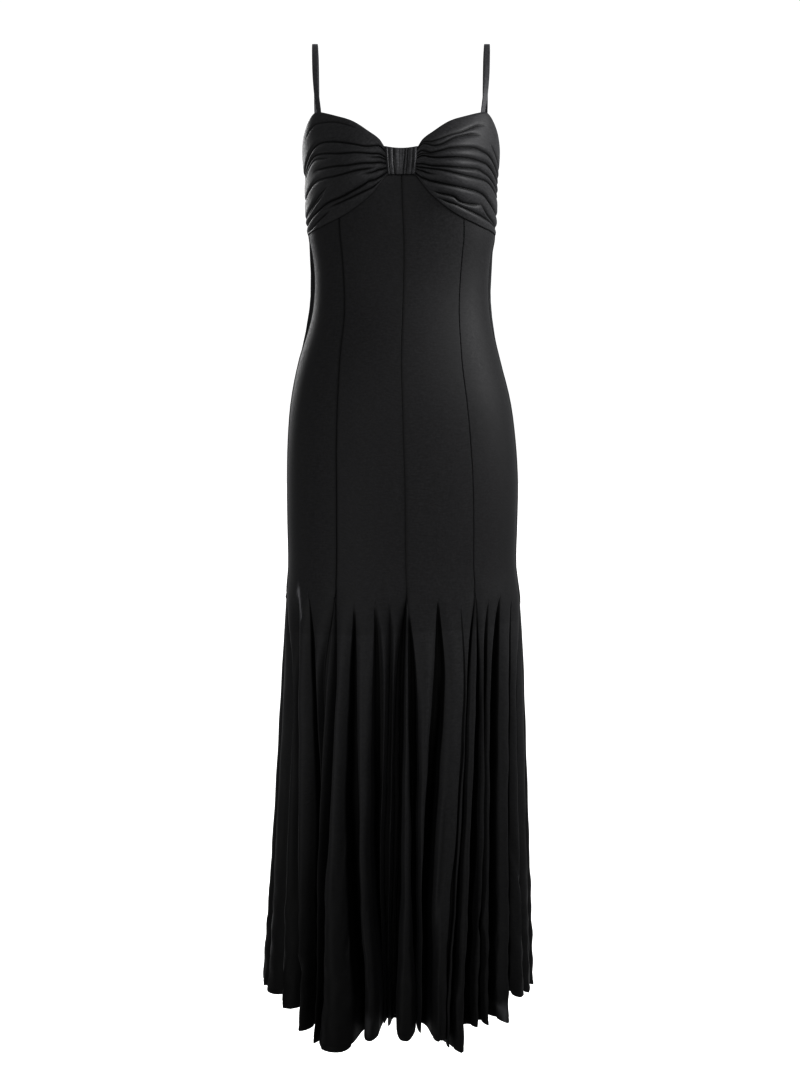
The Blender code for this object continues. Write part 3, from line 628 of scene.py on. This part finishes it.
def skirt_place(place, height):
    """The angle, the inset and the painted shade at a place. A fold has a broad face, rounded shoulders,
    steep flanks that its face overhangs a little, and a deep valley on each side, dark from real shade and
    painted shade."""
    i = np.clip(np.floor(place).astype(int), 0, len(LINES) - 2)
    share = place - i
    angle, inset, shade = (np.zeros(height.shape) for _ in range(3))
    for k in np.unique(i):
        first, second = LINES[k], LINES[k + 1]
        if k % 3 == 1:
            along = (1 - np.cos(math.pi * share)) / 2
            left, right = LINES[k - 1].depth(height), LINES[k + 2].depth(height)
            most = np.minimum(FACE_ROUND, FACE_SHARE * (left * (1 - along) + right * along))
            back = first.lean * left * (1 - along) ** 1.3 + second.lean * right * along**1.3
            here = first.angle(height) * (1 - along) + second.angle(height) * along
            deep = first.depth(height) + most * np.abs(2 * along - 1) ** 2.1 + back
            # Painted shade on a leaning edge.
            dark = first.lean * (1 - along) ** 1.3 * ramp(left / LEAN_DEPTH)
            dark = LEAN_SHADE * (dark + second.lean * along**1.3 * ramp(right / LEAN_DEPTH))
        else:
            edge, valley = (second, first) if k % 3 == 0 else (first, second)
            away = 1 - share if k % 3 == 0 else share
            opened = SHOULDER + (away - SHOULDER) * (1 - ramp((edge.levels[0] - height) / 0.03))
            across = opened * np.sin(math.pi / 2 * np.clip(away / 0.25, 0, 1))
            across = across + (1 - opened) * ramp((away - 0.55) / 0.45)
            start, end = edge.angle(height), valley.angle(height)
            top, bottom = edge.depth(height), valley.depth(height)
            top = top + edge.lean * bottom
            hollow = UNDERCUT * ramp((bottom - top) / (14 * MM))
            across = across - hollow * bump(away, 0.5, 0.32)
            here = start + (end - start) * across
            top = top + np.minimum(FACE_ROUND, FACE_SHARE * bottom)
            deep = top + (bottom - top) * (0.25 * away + 0.75 * ramp(away / 0.8))
            soft = 0.12 if k % 3 == 0 else 0.24
            # Painted shade on a leaning edge and down the flank into the valley.
            dark = LEAN_SHADE * edge.lean * ramp(bottom / LEAN_DEPTH)
            dark = dark + (1 - dark) * ramp(away / soft) * ramp((bottom - top) / (9 * MM))
        angle = np.where(i == k, here, angle)
        inset = np.where(i == k, deep, inset)
        shade = np.where(i == k, dark, shade)
    return angle, inset, shade


def skirt_angle(place, height):
    return skirt_place(place, height)[0]


def hem_roundings():
    """How much the corners of each fold are rounded at the hem: a narrow fold's less."""
    rounding = np.zeros(len(LINES))
    for k in range(1, len(LINES) - 1, 3):
        width = np.radians(LINES[k + 1].angle(HEM) - LINES[k].angle(HEM)) * HEM_REACH
        rounding[k] = rounding[k + 1] = min(1.0, width / BROAD_FOLD)
    for k in range(3, len(LINES) - 1, 3):
        rounding[k] = (rounding[k - 1] + rounding[k + 1]) / 2
    rounding[0] = rounding[-1] = (rounding[1] + rounding[-2]) / 2
    return rounding


ROUNDINGS = hem_roundings()


def relief(angle, height):
    """How far the soft creases, crinkles and rumples of the skirt stand in from it."""
    inset = 0 * angle
    for top_angle, bottom_angle, top, bottom, half_width, depth in FACE_CREASES:
        down = (top - height) / (top - bottom)
        line = top_angle + (bottom_angle - top_angle) * down
        away = (angle - line + 180) % 360 - 180
        ends = ramp(down / 0.35) * (1 if bottom < HEM + 0.03 else ramp((1 - down) / 0.35))
        inset = inset + depth * MM * ends * bump(away, 0, half_width) ** 1.5
    turn = np.radians(angle)
    low = ramp((-1.10 - height) / 0.22)
    crinkle = np.sin(61 * turn + 70 * height) * np.sin(34 * turn - 96 * height + 1.3)
    crinkle = crinkle + 0.6 * np.sin(97 * turn - 41 * height + 0.7) * np.sin(23 * turn + 57 * height)
    folded = ramp((FOLD_START - 0.02 - height) / 0.15)
    rumple = np.sin(29 * turn + 31 * height) * np.sin(13 * turn - 47 * height + 2.0)
    return inset + CRINKLE * low * crinkle + RUMPLE * folded * rumple


def skirt_points(place, level):
    """Points of the gores and godets with their painted shade, angle and height. A level is a
    height before the hem drops or rises."""
    i = np.clip(np.floor(place).astype(int), 0, len(LINES) - 2)
    share = ramp(place - i)
    drops = np.array([line.drop for line in LINES])
    fall = np.clip((FOLD_START - level) / (FOLD_START - HEM), 0, None)
    across = place - i
    flank = np.where(i % 3 == 0, 1 - across, across)
    corner = np.where(i % 3 == 1, np.abs(2 * across - 1) ** 2.4, 1 + 0.15 * flank)
    corner = corner * (ROUNDINGS[i] * (1 - share) + ROUNDINGS[i + 1] * share)
    wave = np.sin(3.1 * place) * np.sin(1.3 * place + 1.0) + 0.5 * np.sin(7.7 * place)
    rise = (HEM_CORNER * corner + HEM_WAVE * wave) * ramp(fall) ** 8
    height = level - (drops[i] * (1 - share) + drops[i + 1] * share) * fall**2 + rise
    angle, inset, shade = skirt_place(place, height)
    turned = bump(level, HEM + HEM_TURN, 2.2 * MM)
    hem = STITCH_DIP * (turned + ramp((HEM + MM - level) / MM))
    # Painted shade along the hem's stitching.
    shade = shade + STITCH_SHADE * turned
    return pulled_in(form(angle, height), inset + relief(angle, height) + hem), shade, angle, height


def painted_light_through(angle, height):
    """How much painted light stands for light coming through the stretched cloth."""
    painted_light = 0 * angle
    for start, end, top, bottom, half_width, strength in PAINTED_LIGHT_PLACES:
        down = np.clip((top - height) / (top - bottom), -1, 2)
        beside = (angle - start - (end - start) * down + 180) % 360 - 180
        beside = np.radians(beside) * HEM_REACH / MM
        beyond = (np.abs(down - 0.5) - 0.5) * (top - bottom) / MM
        narrowed = half_width * (1.15 - 0.6 * np.clip(down, 0, 1))
        away = np.hypot(beside, np.maximum(beyond, 0)) / narrowed
        painted_light = painted_light + strength * ramp(1.3 - away)
    return painted_light


def edge_height(angle):
    """The top of a gore: the bust seam in front and the neckline behind."""
    turn = np.abs((angle + 180) % 360 - 180)
    front = smooth(EDGE_ANGLES, BUST_SEAM, turn) + 2 * MM
    return np.where(turn < 90, front, smooth(NECK_ANGLES, NECK_HEIGHTS, turn))


# ---- making a piece of cloth

def add_object(name, data):
    obj = bpy.data.objects.new(name, data)
    bpy.context.scene.collection.objects.link(obj)
    return obj


def sheet_of(name, across, down, place):
    """A sheet of across by down strips. place(u, v) gives its corners, the painted shade there (the
    hollow attribute) and the painted light where light comes through, with u from 0 at the left edge
    to 1 and v from 0 at the lower edge to 1. Its UV map is the flat cut in metres."""
    bm = bmesh.new()
    bmesh.ops.create_grid(bm, x_segments=across, y_segments=down, size=0.5)
    bm.verts.ensure_lookup_table()
    u = np.array([v.co.x + 0.5 for v in bm.verts])
    v = np.array([v.co.y + 0.5 for v in bm.verts])
    column = np.round(u * across).astype(int)
    row = np.round(v * down).astype(int)
    points, painted_shades, painted_lights = place(u, v)
    net = np.zeros((down + 1, across + 1, 3))
    net[row, column] = points
    widths = np.linalg.norm(np.diff(net, axis=1), axis=2)
    lengths = np.linalg.norm(np.diff(net, axis=0), axis=2)
    run_across = np.pad(np.cumsum(widths, axis=1), ((0, 0), (1, 0)))
    run_across -= run_across[:, -1:] / 2
    run_up = np.pad(np.cumsum(lengths, axis=0), ((1, 0), (0, 0)))
    cut = bm.loops.layers.uv.new("cut")
    hollow, painted_light = bm.verts.layers.float.new("hollow"), bm.verts.layers.float.new("painted_light")
    for vert, point, r, c, dark, light in zip(bm.verts, points, row, column, painted_shades, painted_lights):
        vert.co = point
        vert[hollow], vert[painted_light] = min(dark, 1.0), min(light, 1.0)
        for loop in vert.link_loops:
            loop[cut].uv = (run_across[r, c], run_up[r, c])
    bmesh.ops.remove_doubles(bm, verts=bm.verts[:], dist=1e-6)
    mesh = bpy.data.meshes.new(name)
    bm.to_mesh(mesh)
    bm.free()
    mesh.shade_smooth()
    return add_object(name, mesh)


def make_cloth(node, across, down, place, wall, material, offset=-1.0):
    """A piece of cloth in place of its solid. sheet_of tells what place gives."""
    obj = sheet_of(node + "_cloth", across, down, place)
    solidify = obj.modifiers.new("wall", "SOLIDIFY")
    solidify.thickness = wall
    solidify.offset = offset
    obj.data.materials.append(material)
    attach(obj, "root")
    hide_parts(node)
    return obj


# ---- materials

# Soft shade painted into the jersey's base colour, as shares of its own tone: lighter below the
# slip's end, falling to the hem and, along a slant, to the lower left, and darkest in hollows.
SLIP_SHADE = -0.8365
SLIP_TILT = (-0.05, 0, 1)
UNLINED_TONE = 1.20
HEM_TONE = 0.58
LOWER_LEFT_TONE = 0.25
LOWER_LEFT_SLANT = (1.1, 0, 1)
LOWER_LEFT_SPAN = (-1.50, -1.15)
HOLLOW_TONE = 0.05
# The colour painted where light comes through thin places.
PAINTED_LIGHT_COLOUR = (0.080, 0.080, 0.084, 1)


def set_inputs(node, values):
    for name, value in values.items():
        node.inputs[name].default_value = value


def add_noise(tree, coordinates, scale, detail=3.0):
    noise = tree.nodes.new("ShaderNodeTexNoise")
    set_inputs(noise, {"Scale": scale, "Detail": detail})
    tree.links.new(coordinates, noise.inputs["Vector"])
    return noise.outputs["Fac"]


def add_range(tree, value, span, low, high):
    spread = tree.nodes.new("ShaderNodeMapRange")
    set_inputs(spread, {"From Min": span[0], "From Max": span[1], "To Min": low, "To Max": high})
    tree.links.new(value, spread.inputs["Value"])
    return spread.outputs["Result"]


def add_product(tree, first, second):
    product = tree.nodes.new("ShaderNodeMath")
    product.operation = "MULTIPLY"
    tree.links.new(first, product.inputs[0])
    tree.links.new(second, product.inputs[1])
    return product.outputs["Value"]


def add_attribute(tree, name):
    attribute = tree.nodes.new("ShaderNodeAttribute")
    attribute.attribute_name = name
    return attribute.outputs["Fac"]


def add_slant(tree, coordinates, direction):
    """How far a point lies along a direction."""
    slant = tree.nodes.new("ShaderNodeVectorMath")
    slant.operation = "DOT_PRODUCT"
    slant.inputs[1].default_value = direction
    tree.links.new(coordinates, slant.inputs[0])
    return slant.outputs["Value"]


def jersey(name, colour, roughness, sheen, rib_spacing=1.1 * MM, over_slip=False):
    """Fine stretch jersey: black, mottled along its knitted courses, with painted shade darkening its
    hollows and with narrow ribs along its length. Over the slip it also has painted light below the
    slip's end and where light comes through thin places, and painted shade towards the hem and the lower
    left."""
    material = bpy.data.materials.new(name)
    material.use_nodes = True
    tree = material.node_tree
    nodes, links = tree.nodes, tree.links
    shader = nodes["Principled BSDF"]
    place = nodes.new("ShaderNodeTexCoord").outputs["Object"]
    cut = nodes.new("ShaderNodeUVMap")
    cut.uv_map = "cut"
    along_courses = nodes.new("ShaderNodeMapping")
    along_courses.inputs["Scale"].default_value = (90, 560, 1)
    links.new(cut.outputs["UV"], along_courses.inputs["Vector"])
    mottle = add_noise(tree, place, 320.0, 4.0)
    courses = add_noise(tree, along_courses.outputs["Vector"], 1.0, 3.0)
    tone = add_product(
        tree, add_range(tree, mottle, (0.34, 0.66), 0.84, 1.17),
        add_range(tree, courses, (0.34, 0.66), 0.86, 1.15),
    )
    # Painted shade, darkest where the hollow attribute is high.
    shaded = add_range(tree, add_attribute(tree, "hollow"), (0, 1), 1.0, HOLLOW_TONE)
    tone = add_product(tree, tone, shaded)
    if over_slip:
        # Painted light below the slip's end, and painted shade falling to the hem and the lower left.
        level = add_slant(tree, place, SLIP_TILT)
        slip_end = (SLIP_SHADE - 0.5 * MM, SLIP_SHADE + 0.5 * MM)
        unlined = add_range(tree, level, slip_end, UNLINED_TONE, 1.0)
        fall = add_range(tree, level, (HEM, SLIP_SHADE), HEM_TONE, 1.0)
        tone = add_product(tree, tone, add_product(tree, unlined, fall))
        slant = add_slant(tree, place, LOWER_LEFT_SLANT)
        lower_left = add_range(tree, slant, LOWER_LEFT_SPAN, LOWER_LEFT_TONE, 1.0)
        tone = add_product(tree, tone, lower_left)
    dyed = nodes.new("ShaderNodeVectorMath")
    dyed.operation = "SCALE"
    dyed.inputs[0].default_value = colour
    links.new(tone, dyed.inputs["Scale"])
    if over_slip:
        # Painted light where light comes through thin places.
        lit = nodes.new("ShaderNodeMix")
        lit.data_type = "RGBA"
        lit.inputs["B"].default_value = PAINTED_LIGHT_COLOUR
        links.new(add_attribute(tree, "painted_light"), lit.inputs["Factor"])
        links.new(dyed.outputs["Vector"], lit.inputs["A"])
        links.new(lit.outputs["Result"], shader.inputs["Base Color"])
    else:
        links.new(dyed.outputs["Vector"], shader.inputs["Base Color"])
    rough = add_range(tree, mottle, (0.3, 0.7), roughness - 0.06, roughness + 0.06)
    links.new(rough, shader.inputs["Roughness"])
    set_inputs(shader, {"Specular IOR Level": 0.08, "Sheen Weight": sheen})
    set_inputs(shader, {"Sheen Roughness": 0.38, "Sheen Tint": (0.55, 0.56, 0.60, 1)})
    ribs = nodes.new("ShaderNodeTexWave")
    ribs.bands_direction = "X"
    set_inputs(ribs, {"Scale": 1 / (rib_spacing * 6.28), "Distortion": 1.2, "Detail": 1.0})
    links.new(cut.outputs["UV"], ribs.inputs["Vector"])
    slub = add_noise(tree, place, 420.0, 2.0)
    height = nodes.new("ShaderNodeMix")
    height.inputs["Factor"].default_value = 0.55
    links.new(ribs.outputs["Fac"], height.inputs["A"])
    links.new(slub, height.inputs["B"])
    knit = nodes.new("ShaderNodeBump")
    set_inputs(knit, {"Strength": 0.35, "Distance": 0.12 * MM})
    links.new(height.outputs["Result"], knit.inputs["Height"])
    links.new(knit.outputs["Normal"], shader.inputs["Normal"])
    return material


BODY_JERSEY = jersey("body jersey", (0.0102, 0.0102, 0.0107), 0.58, 0.05, over_slip=True)
CUP_JERSEY = jersey("ruched jersey", (0.0148, 0.0148, 0.0155), 0.52, 0.06)
# The loop's jersey is lighter than the rest as painted light for the highlight the loop catches.
LOOP_JERSEY = jersey("loop jersey", (0.0240, 0.0240, 0.0252), 0.50, 0.06)
STRAP_JERSEY = jersey("strap jersey", (0.0240, 0.0240, 0.0255), 0.50, 0.08)
SLIP_JERSEY = jersey("slip tricot", (0.0180, 0.0180, 0.0190), 0.48, 0.05, 0.7 * MM)


# ---- the pieces

def hem_rows(row, top):
    """The levels of a skirt piece's rows, which lie close together along the turned hem."""
    return np.interp(row, (0, HEM_ROWS, FOLDED_LEVELS), (HEM, HEM + 1.4 * HEM_TURN, top))


def from_seam(edge, angle, level, points):
    """The distance from a long seam, round the dress."""
    reach = np.hypot(points[..., 0], points[..., 1])
    return np.abs(np.radians(angle - LINES[edge].angle(level))) * reach


def seam_groove(edge, away, level):
    """How far a long seam pulls the cloth in beside it, most of all at the godet's point."""
    turn_in = SEAM_TURN_IN * (FLAT_SEAM if LINES[edge].seam == "front_right" else 1)
    groove = turn_in * np.clip(1 - away / SEAM_TURN_WIDTH, 0, 1) ** 2
    above_point = level - LINES[edge].levels[0] + PUCKER_BELOW
    at_point = bell(above_point, PUCKER_LENGTH)
    return groove + GODET_PUCKER * bell(away, PUCKER_WIDTH) * at_point


def make_gore(node):
    first, last = SPANS[node]
    across = (last - first) * STRIPS
    down = GORE_TOP_ROWS + FOLDED_LEVELS

    def place(u, v):
        along = first + u * (last - first)
        row = v * down
        folded = hem_rows(row, FOLDED_TOP)
        inside = np.clip(along, first + INSIDE, last - INSIDE)
        top = edge_height(skirt_angle(inside, np.full(along.shape, NEAR_TOP)))
        rise = np.clip((row - FOLDED_LEVELS) / GORE_TOP_ROWS, 0, 1)
        rise = np.interp(rise, (0, 1 - EDGE_ROWS / GORE_TOP_ROWS, 1), (0, 1 - EDGE_SHARE, 1))
        level = folded + (top - FOLDED_TOP) * rise
        points, shade, bent_angle, height = skirt_points(along, level)
        angle = skirt_angle(inside, level)
        groove = 0 * angle
        for edge in (first, last):
            away = from_seam(edge, angle, level, points)
            groove = groove + seam_groove(edge, away, level)
            # Painted shade along each long seam's stitched line.
            shade = shade + SEAM_SHADES[LINES[edge].seam] * np.exp(-away / SEAM_SHADE_WIDTH)
            if LINES[edge].seam == "front_left" and edge == first:
                groove = groove - SEAM_RIDGE * bump(away, 2.6 * MM, 1.9 * MM)
        behind = np.cos(np.radians(angle)) < 0
        groove = groove + STITCH_DIP * behind * bump(top - level, HEM_TURN, 2.5 * MM)
        # Painted shade along the stitching of the neckline behind.
        shade = shade + STITCH_SHADE * behind * bump(top - level, HEM_TURN, 1.6 * MM)
        # A painted shadow along the top edge in front, under the cup's lapped edge.
        shade = shade + 0.9 * (1 - behind) * ramp(1 - (top - level) / (3.2 * MM))
        return pulled_in(points, groove), shade, painted_light_through(bent_angle, height)

    make_cloth(node, across, down, place, JERSEY_WALL, BODY_JERSEY)


def make_godet(node):
    first, last = SPANS[node]
    top = LINES[first].levels[0]
    across = (last - first) * STRIPS
    levels = hem_rows(np.arange(FOLDED_LEVELS + 1), FOLDED_TOP)
    levels = np.append(levels[levels < top - MM], top)
    down = len(levels) - 1

    def place(u, v):
        along = first + u * (last - first)
        level = levels[np.round(v * down).astype(int)]
        points, shade, bent_angle, height = skirt_points(along, level)
        angle = skirt_angle(np.clip(along, first + INSIDE, last - INSIDE), level)
        groove = 0 * angle
        for edge in (first, last):
            groove = groove + seam_groove(edge, from_seam(edge, angle, level, points), level)
        return pulled_in(points, groove), shade, painted_light_through(bent_angle, height)

    make_cloth(node, across, down, place, JERSEY_WALL, BODY_JERSEY)


def make_cup(node):
    side = -1 if node.endswith("left") else 1

    def place(u, v):
        turn = 0.5 + 89.9 * (u if side > 0 else 1 - u) ** 1.15
        down = 1 - v
        top, bottom = smooth(EDGE_ANGLES, CUP_TOPS, turn), smooth(EDGE_ANGLES, BUST_SEAM, turn)
        span = top - bottom
        tight = np.clip(span / FULL_CUP, 0.4, 1)
        creased, dark = 0 * u, 0 * u
        for depth, path in CUP_CREASES[node]:
            turns, downs = columns_of(path)
            near = 1 if turns[0] < 5 else ramp((turn - turns[0]) / 9)
            far = 1 if turns[-1] > 88 else ramp((turns[-1] - turn) / 14)
            away = (down - smooth(turns, downs, turn)) * span
            sharp = np.exp(-np.abs(away) / (CREASE_CORE * tight))
            soft = bell(away, CREASE_SIDES * tight)
            creased = creased + depth * MM * near * far * (1.5 * sharp + 0.7 * soft)
            # Painted shade along each crease.
            line = bell(away, CREASE_SHADE * tight)
            dark = dark + (0.40 + 0.42 * depth) * near * far * line
        creased = CREASE_LIMIT * (1 - np.exp(-creased / CREASE_LIMIT))
        gather = 0.22 * MM * bump(turn, 6, 18) * np.sin(down * 95 + 0.12 * turn * np.sin(down * 9))
        full = 1 - (2 * down - 1) ** 8
        crest = smooth((8.5, 30), CREST_LIFTS, turn)
        lift = CUP_EDGE_LIFT + (crest - CUP_EDGE_LIFT) * full - creased + gather
        lift = np.maximum(lift, -2.2 * MM) - 0.6 * MM * ramp(1 - down * span / (2.5 * MM))
        lift = lift * (0.12 + 0.88 * ramp((90.4 - turn) / 5))
        # The creases' painted shade deepens near the loop, with a painted shadow along the cup's lower
        # edge.
        dark = dark * (1 + 0.8 * bump(turn, 9, 22)) + 0.7 * ramp(1 - (1 - down) * span / (1.6 * MM))
        angle, height = side * turn, top - span * down
        return form(angle, height) + outward(angle, height) * lift[..., None], dark, 0 * u

    make_cloth(node, 150, 190, place, JERSEY_WALL, CUP_JERSEY)


def make_loop():
    stand_offs, heights, corner_rises, pleat_shares = columns_of(LOOP_ROWS)
    tops, bottoms, depths = columns_of(LOOP_CREASES)
    row_places = np.arange(len(LOOP_ROWS))

    def place(u, v):
        across = 2 * u - 1
        row = (1 - v) * row_places[-1]
        height = smooth(row_places, heights, row)
        down = np.clip((heights[3] - height) / (heights[3] - heights[-1]), 0, 1)
        half = LOOP_HALF_WIDTHS[0] * (1 - down) + LOOP_HALF_WIDTHS[1] * down
        x = across * half
        share = smooth(row_places, pleat_shares, row)
        creased = 0 * u
        for top, bottom, depth in zip(tops, bottoms, depths):
            away = x / MM - (top + (bottom - top) * down) - 0.25 * np.sin(down * 7 + top)
            creased = creased + depth * (0.6 * np.exp(-np.abs(away) / 0.6) + 0.4 * bell(away, 1.7))
        rolled = 4.2 * ramp((np.abs(across) - 0.86) / 0.14) * ramp((row - 2) / 2)
        pleat = (0.9 - 1.25 * creased) * share - rolled
        height = height + smooth(row_places, corner_rises, row) * MM * across**2
        height = height + (0.5 * MM) * creased * ramp((row - 7.5) / 1.5)
        half_width = smooth(FORM_HEIGHTS, FORM_HALF_WIDTHS, height)
        points = form(np.degrees(np.arcsin(x / half_width)), height)
        points[..., 1] -= (smooth(row_places, stand_offs, row) + pleat) * MM
        # Painted shade in the deeper pleats, along the loop's lowest rows and along its sides.
        dark = 0.75 * ramp((creased - 0.55) / 0.9) * share + 0.6 * ramp((row - 8.3) / 0.7)
        return points, dark + 0.6 * ramp((np.abs(across) - 0.9) / 0.1), 0 * u

    make_cloth("center_loop", 110, 80, place, JERSEY_WALL, LOOP_JERSEY)


def make_strap(node):
    side = -1 if node.endswith("left") else 1
    stations = np.arange(len(STRAP_PATH))
    xs, ys, zs, turns = columns_of(STRAP_PATH[::-1])

    def place(u, v):
        at = v * stations[-1]
        middle = np.stack(
            (side * smooth(stations, xs, at), smooth(stations, ys, at), smooth(stations, zs, at)), -1
        )
        turn = np.radians(side * smooth(stations, turns, at))
        width = np.stack((np.cos(turn), np.sin(turn), 0 * turn), -1)
        return middle + width * ((u - 0.5) * STRAP_WIDTH)[..., None], 0 * u, 0 * u

    obj = make_cloth(node, 6, 120, place, STRAP_WALL, STRAP_JERSEY, 0.0)
    edge = obj.modifiers.new("rolled edge", "BEVEL")
    edge.width = 0.6 * MM
    edge.segments = 3
    edge.limit_method = "ANGLE"
    edge.angle_limit = math.radians(60)


def make_lining(node, start, end):
    def place(u, v):
        angle = start + (end - start) * u
        top = edge_height(angle) - LINING_TUCK
        height = LINING_HEM + (top - LINING_HEM) * v
        inset = smooth(LINING_HEIGHTS, LINING_INSETS, height)
        return pulled_in(form(angle, height), inset), 0 * u, 0 * u

    make_cloth(node, 90, 110, place, SLIP_WALL, SLIP_JERSEY)


for piece_name in SPANS:
    if godet_name(piece_name):
        make_godet(piece_name)
    else:
        make_gore(piece_name)
make_cup("cup_left")
make_cup("cup_right")
make_loop()
make_strap("strap_left")
make_strap("strap_right")
make_lining("lining_front", -89.9, 89.9)
make_lining("lining_back", 90.1, 269.9)


# ---- studio

FLOOR_HEIGHT = -1.62


def make_studio():
    bm = bmesh.new()
    bmesh.ops.create_circle(bm, cap_ends=True, segments=64, radius=14.0)
    bmesh.ops.translate(bm, verts=bm.verts, vec=(0, 0, FLOOR_HEIGHT))
    mesh = bpy.data.meshes.new("floor")
    bm.to_mesh(mesh)
    bm.free()
    floor = add_object("floor", mesh)
    paint = bpy.data.materials.new("pale floor")
    paint.use_nodes = True
    shader = paint.node_tree.nodes["Principled BSDF"]
    set_inputs(shader, {"Base Color": (0.93, 0.93, 0.93, 1), "Roughness": 0.9})
    set_inputs(shader, {"Emission Color": (1, 1, 1, 1), "Emission Strength": 0.30})
    mesh.materials.append(paint)
    world = bpy.data.worlds.new("studio")
    bpy.context.scene.world = world
    world.use_nodes = True
    sky = world.node_tree.nodes["Background"]
    set_inputs(sky, {"Color": (1, 1, 1, 1), "Strength": 1.02})


def add_light(name, location, aim, size, power, spread=180):
    data = bpy.data.lights.new(name, "AREA")
    data.shape = "RECTANGLE"
    data.size, data.size_y = size
    data.energy = power
    data.spread = math.radians(spread)
    light = add_object(name, data)
    light.location = location
    towards = np.array(aim) - np.array(location)
    light.rotation_euler = Vector(towards).to_track_quat("-Z", "Y").to_euler()


make_studio()
add_light("key", (1.7, -2.3, 0.6), (0, 0, -0.20), (0.9, 1.2), 8.2, 44)
add_light("right strip", (2.3, -0.3, 0.5), (0, 0, -0.10), (0.5, 1.2), 26, 62)
add_light("left rim", (-1.6, 2.2, 0.2), (-0.1, 0, -0.25), (0.5, 1.2), 5, 60)
add_light("front fill", (-0.6, -2.9, -0.2), (0, 0, -0.20), (0.8, 1.2), 3.6, 40)
add_light("skirt light", (-1.6, -2.2, -0.95), (0, 0, -1.05), (0.4, 0.8), 2.4, 34)

camera_data = bpy.data.cameras.new("camera")
camera_data.lens = 59.32
camera_data.sensor_width = 36.0
camera_data.shift_y = -0.15
camera = add_object("camera", camera_data)
camera.location = (-0.0014, -2.547, -0.4552)
camera.rotation_euler = (math.radians(90 - 0.456), 0, 0)
bpy.context.scene.camera = camera
bpy.context.scene.view_settings.view_transform = "Standard"
bpy.context.scene.view_settings.gamma = 0.65
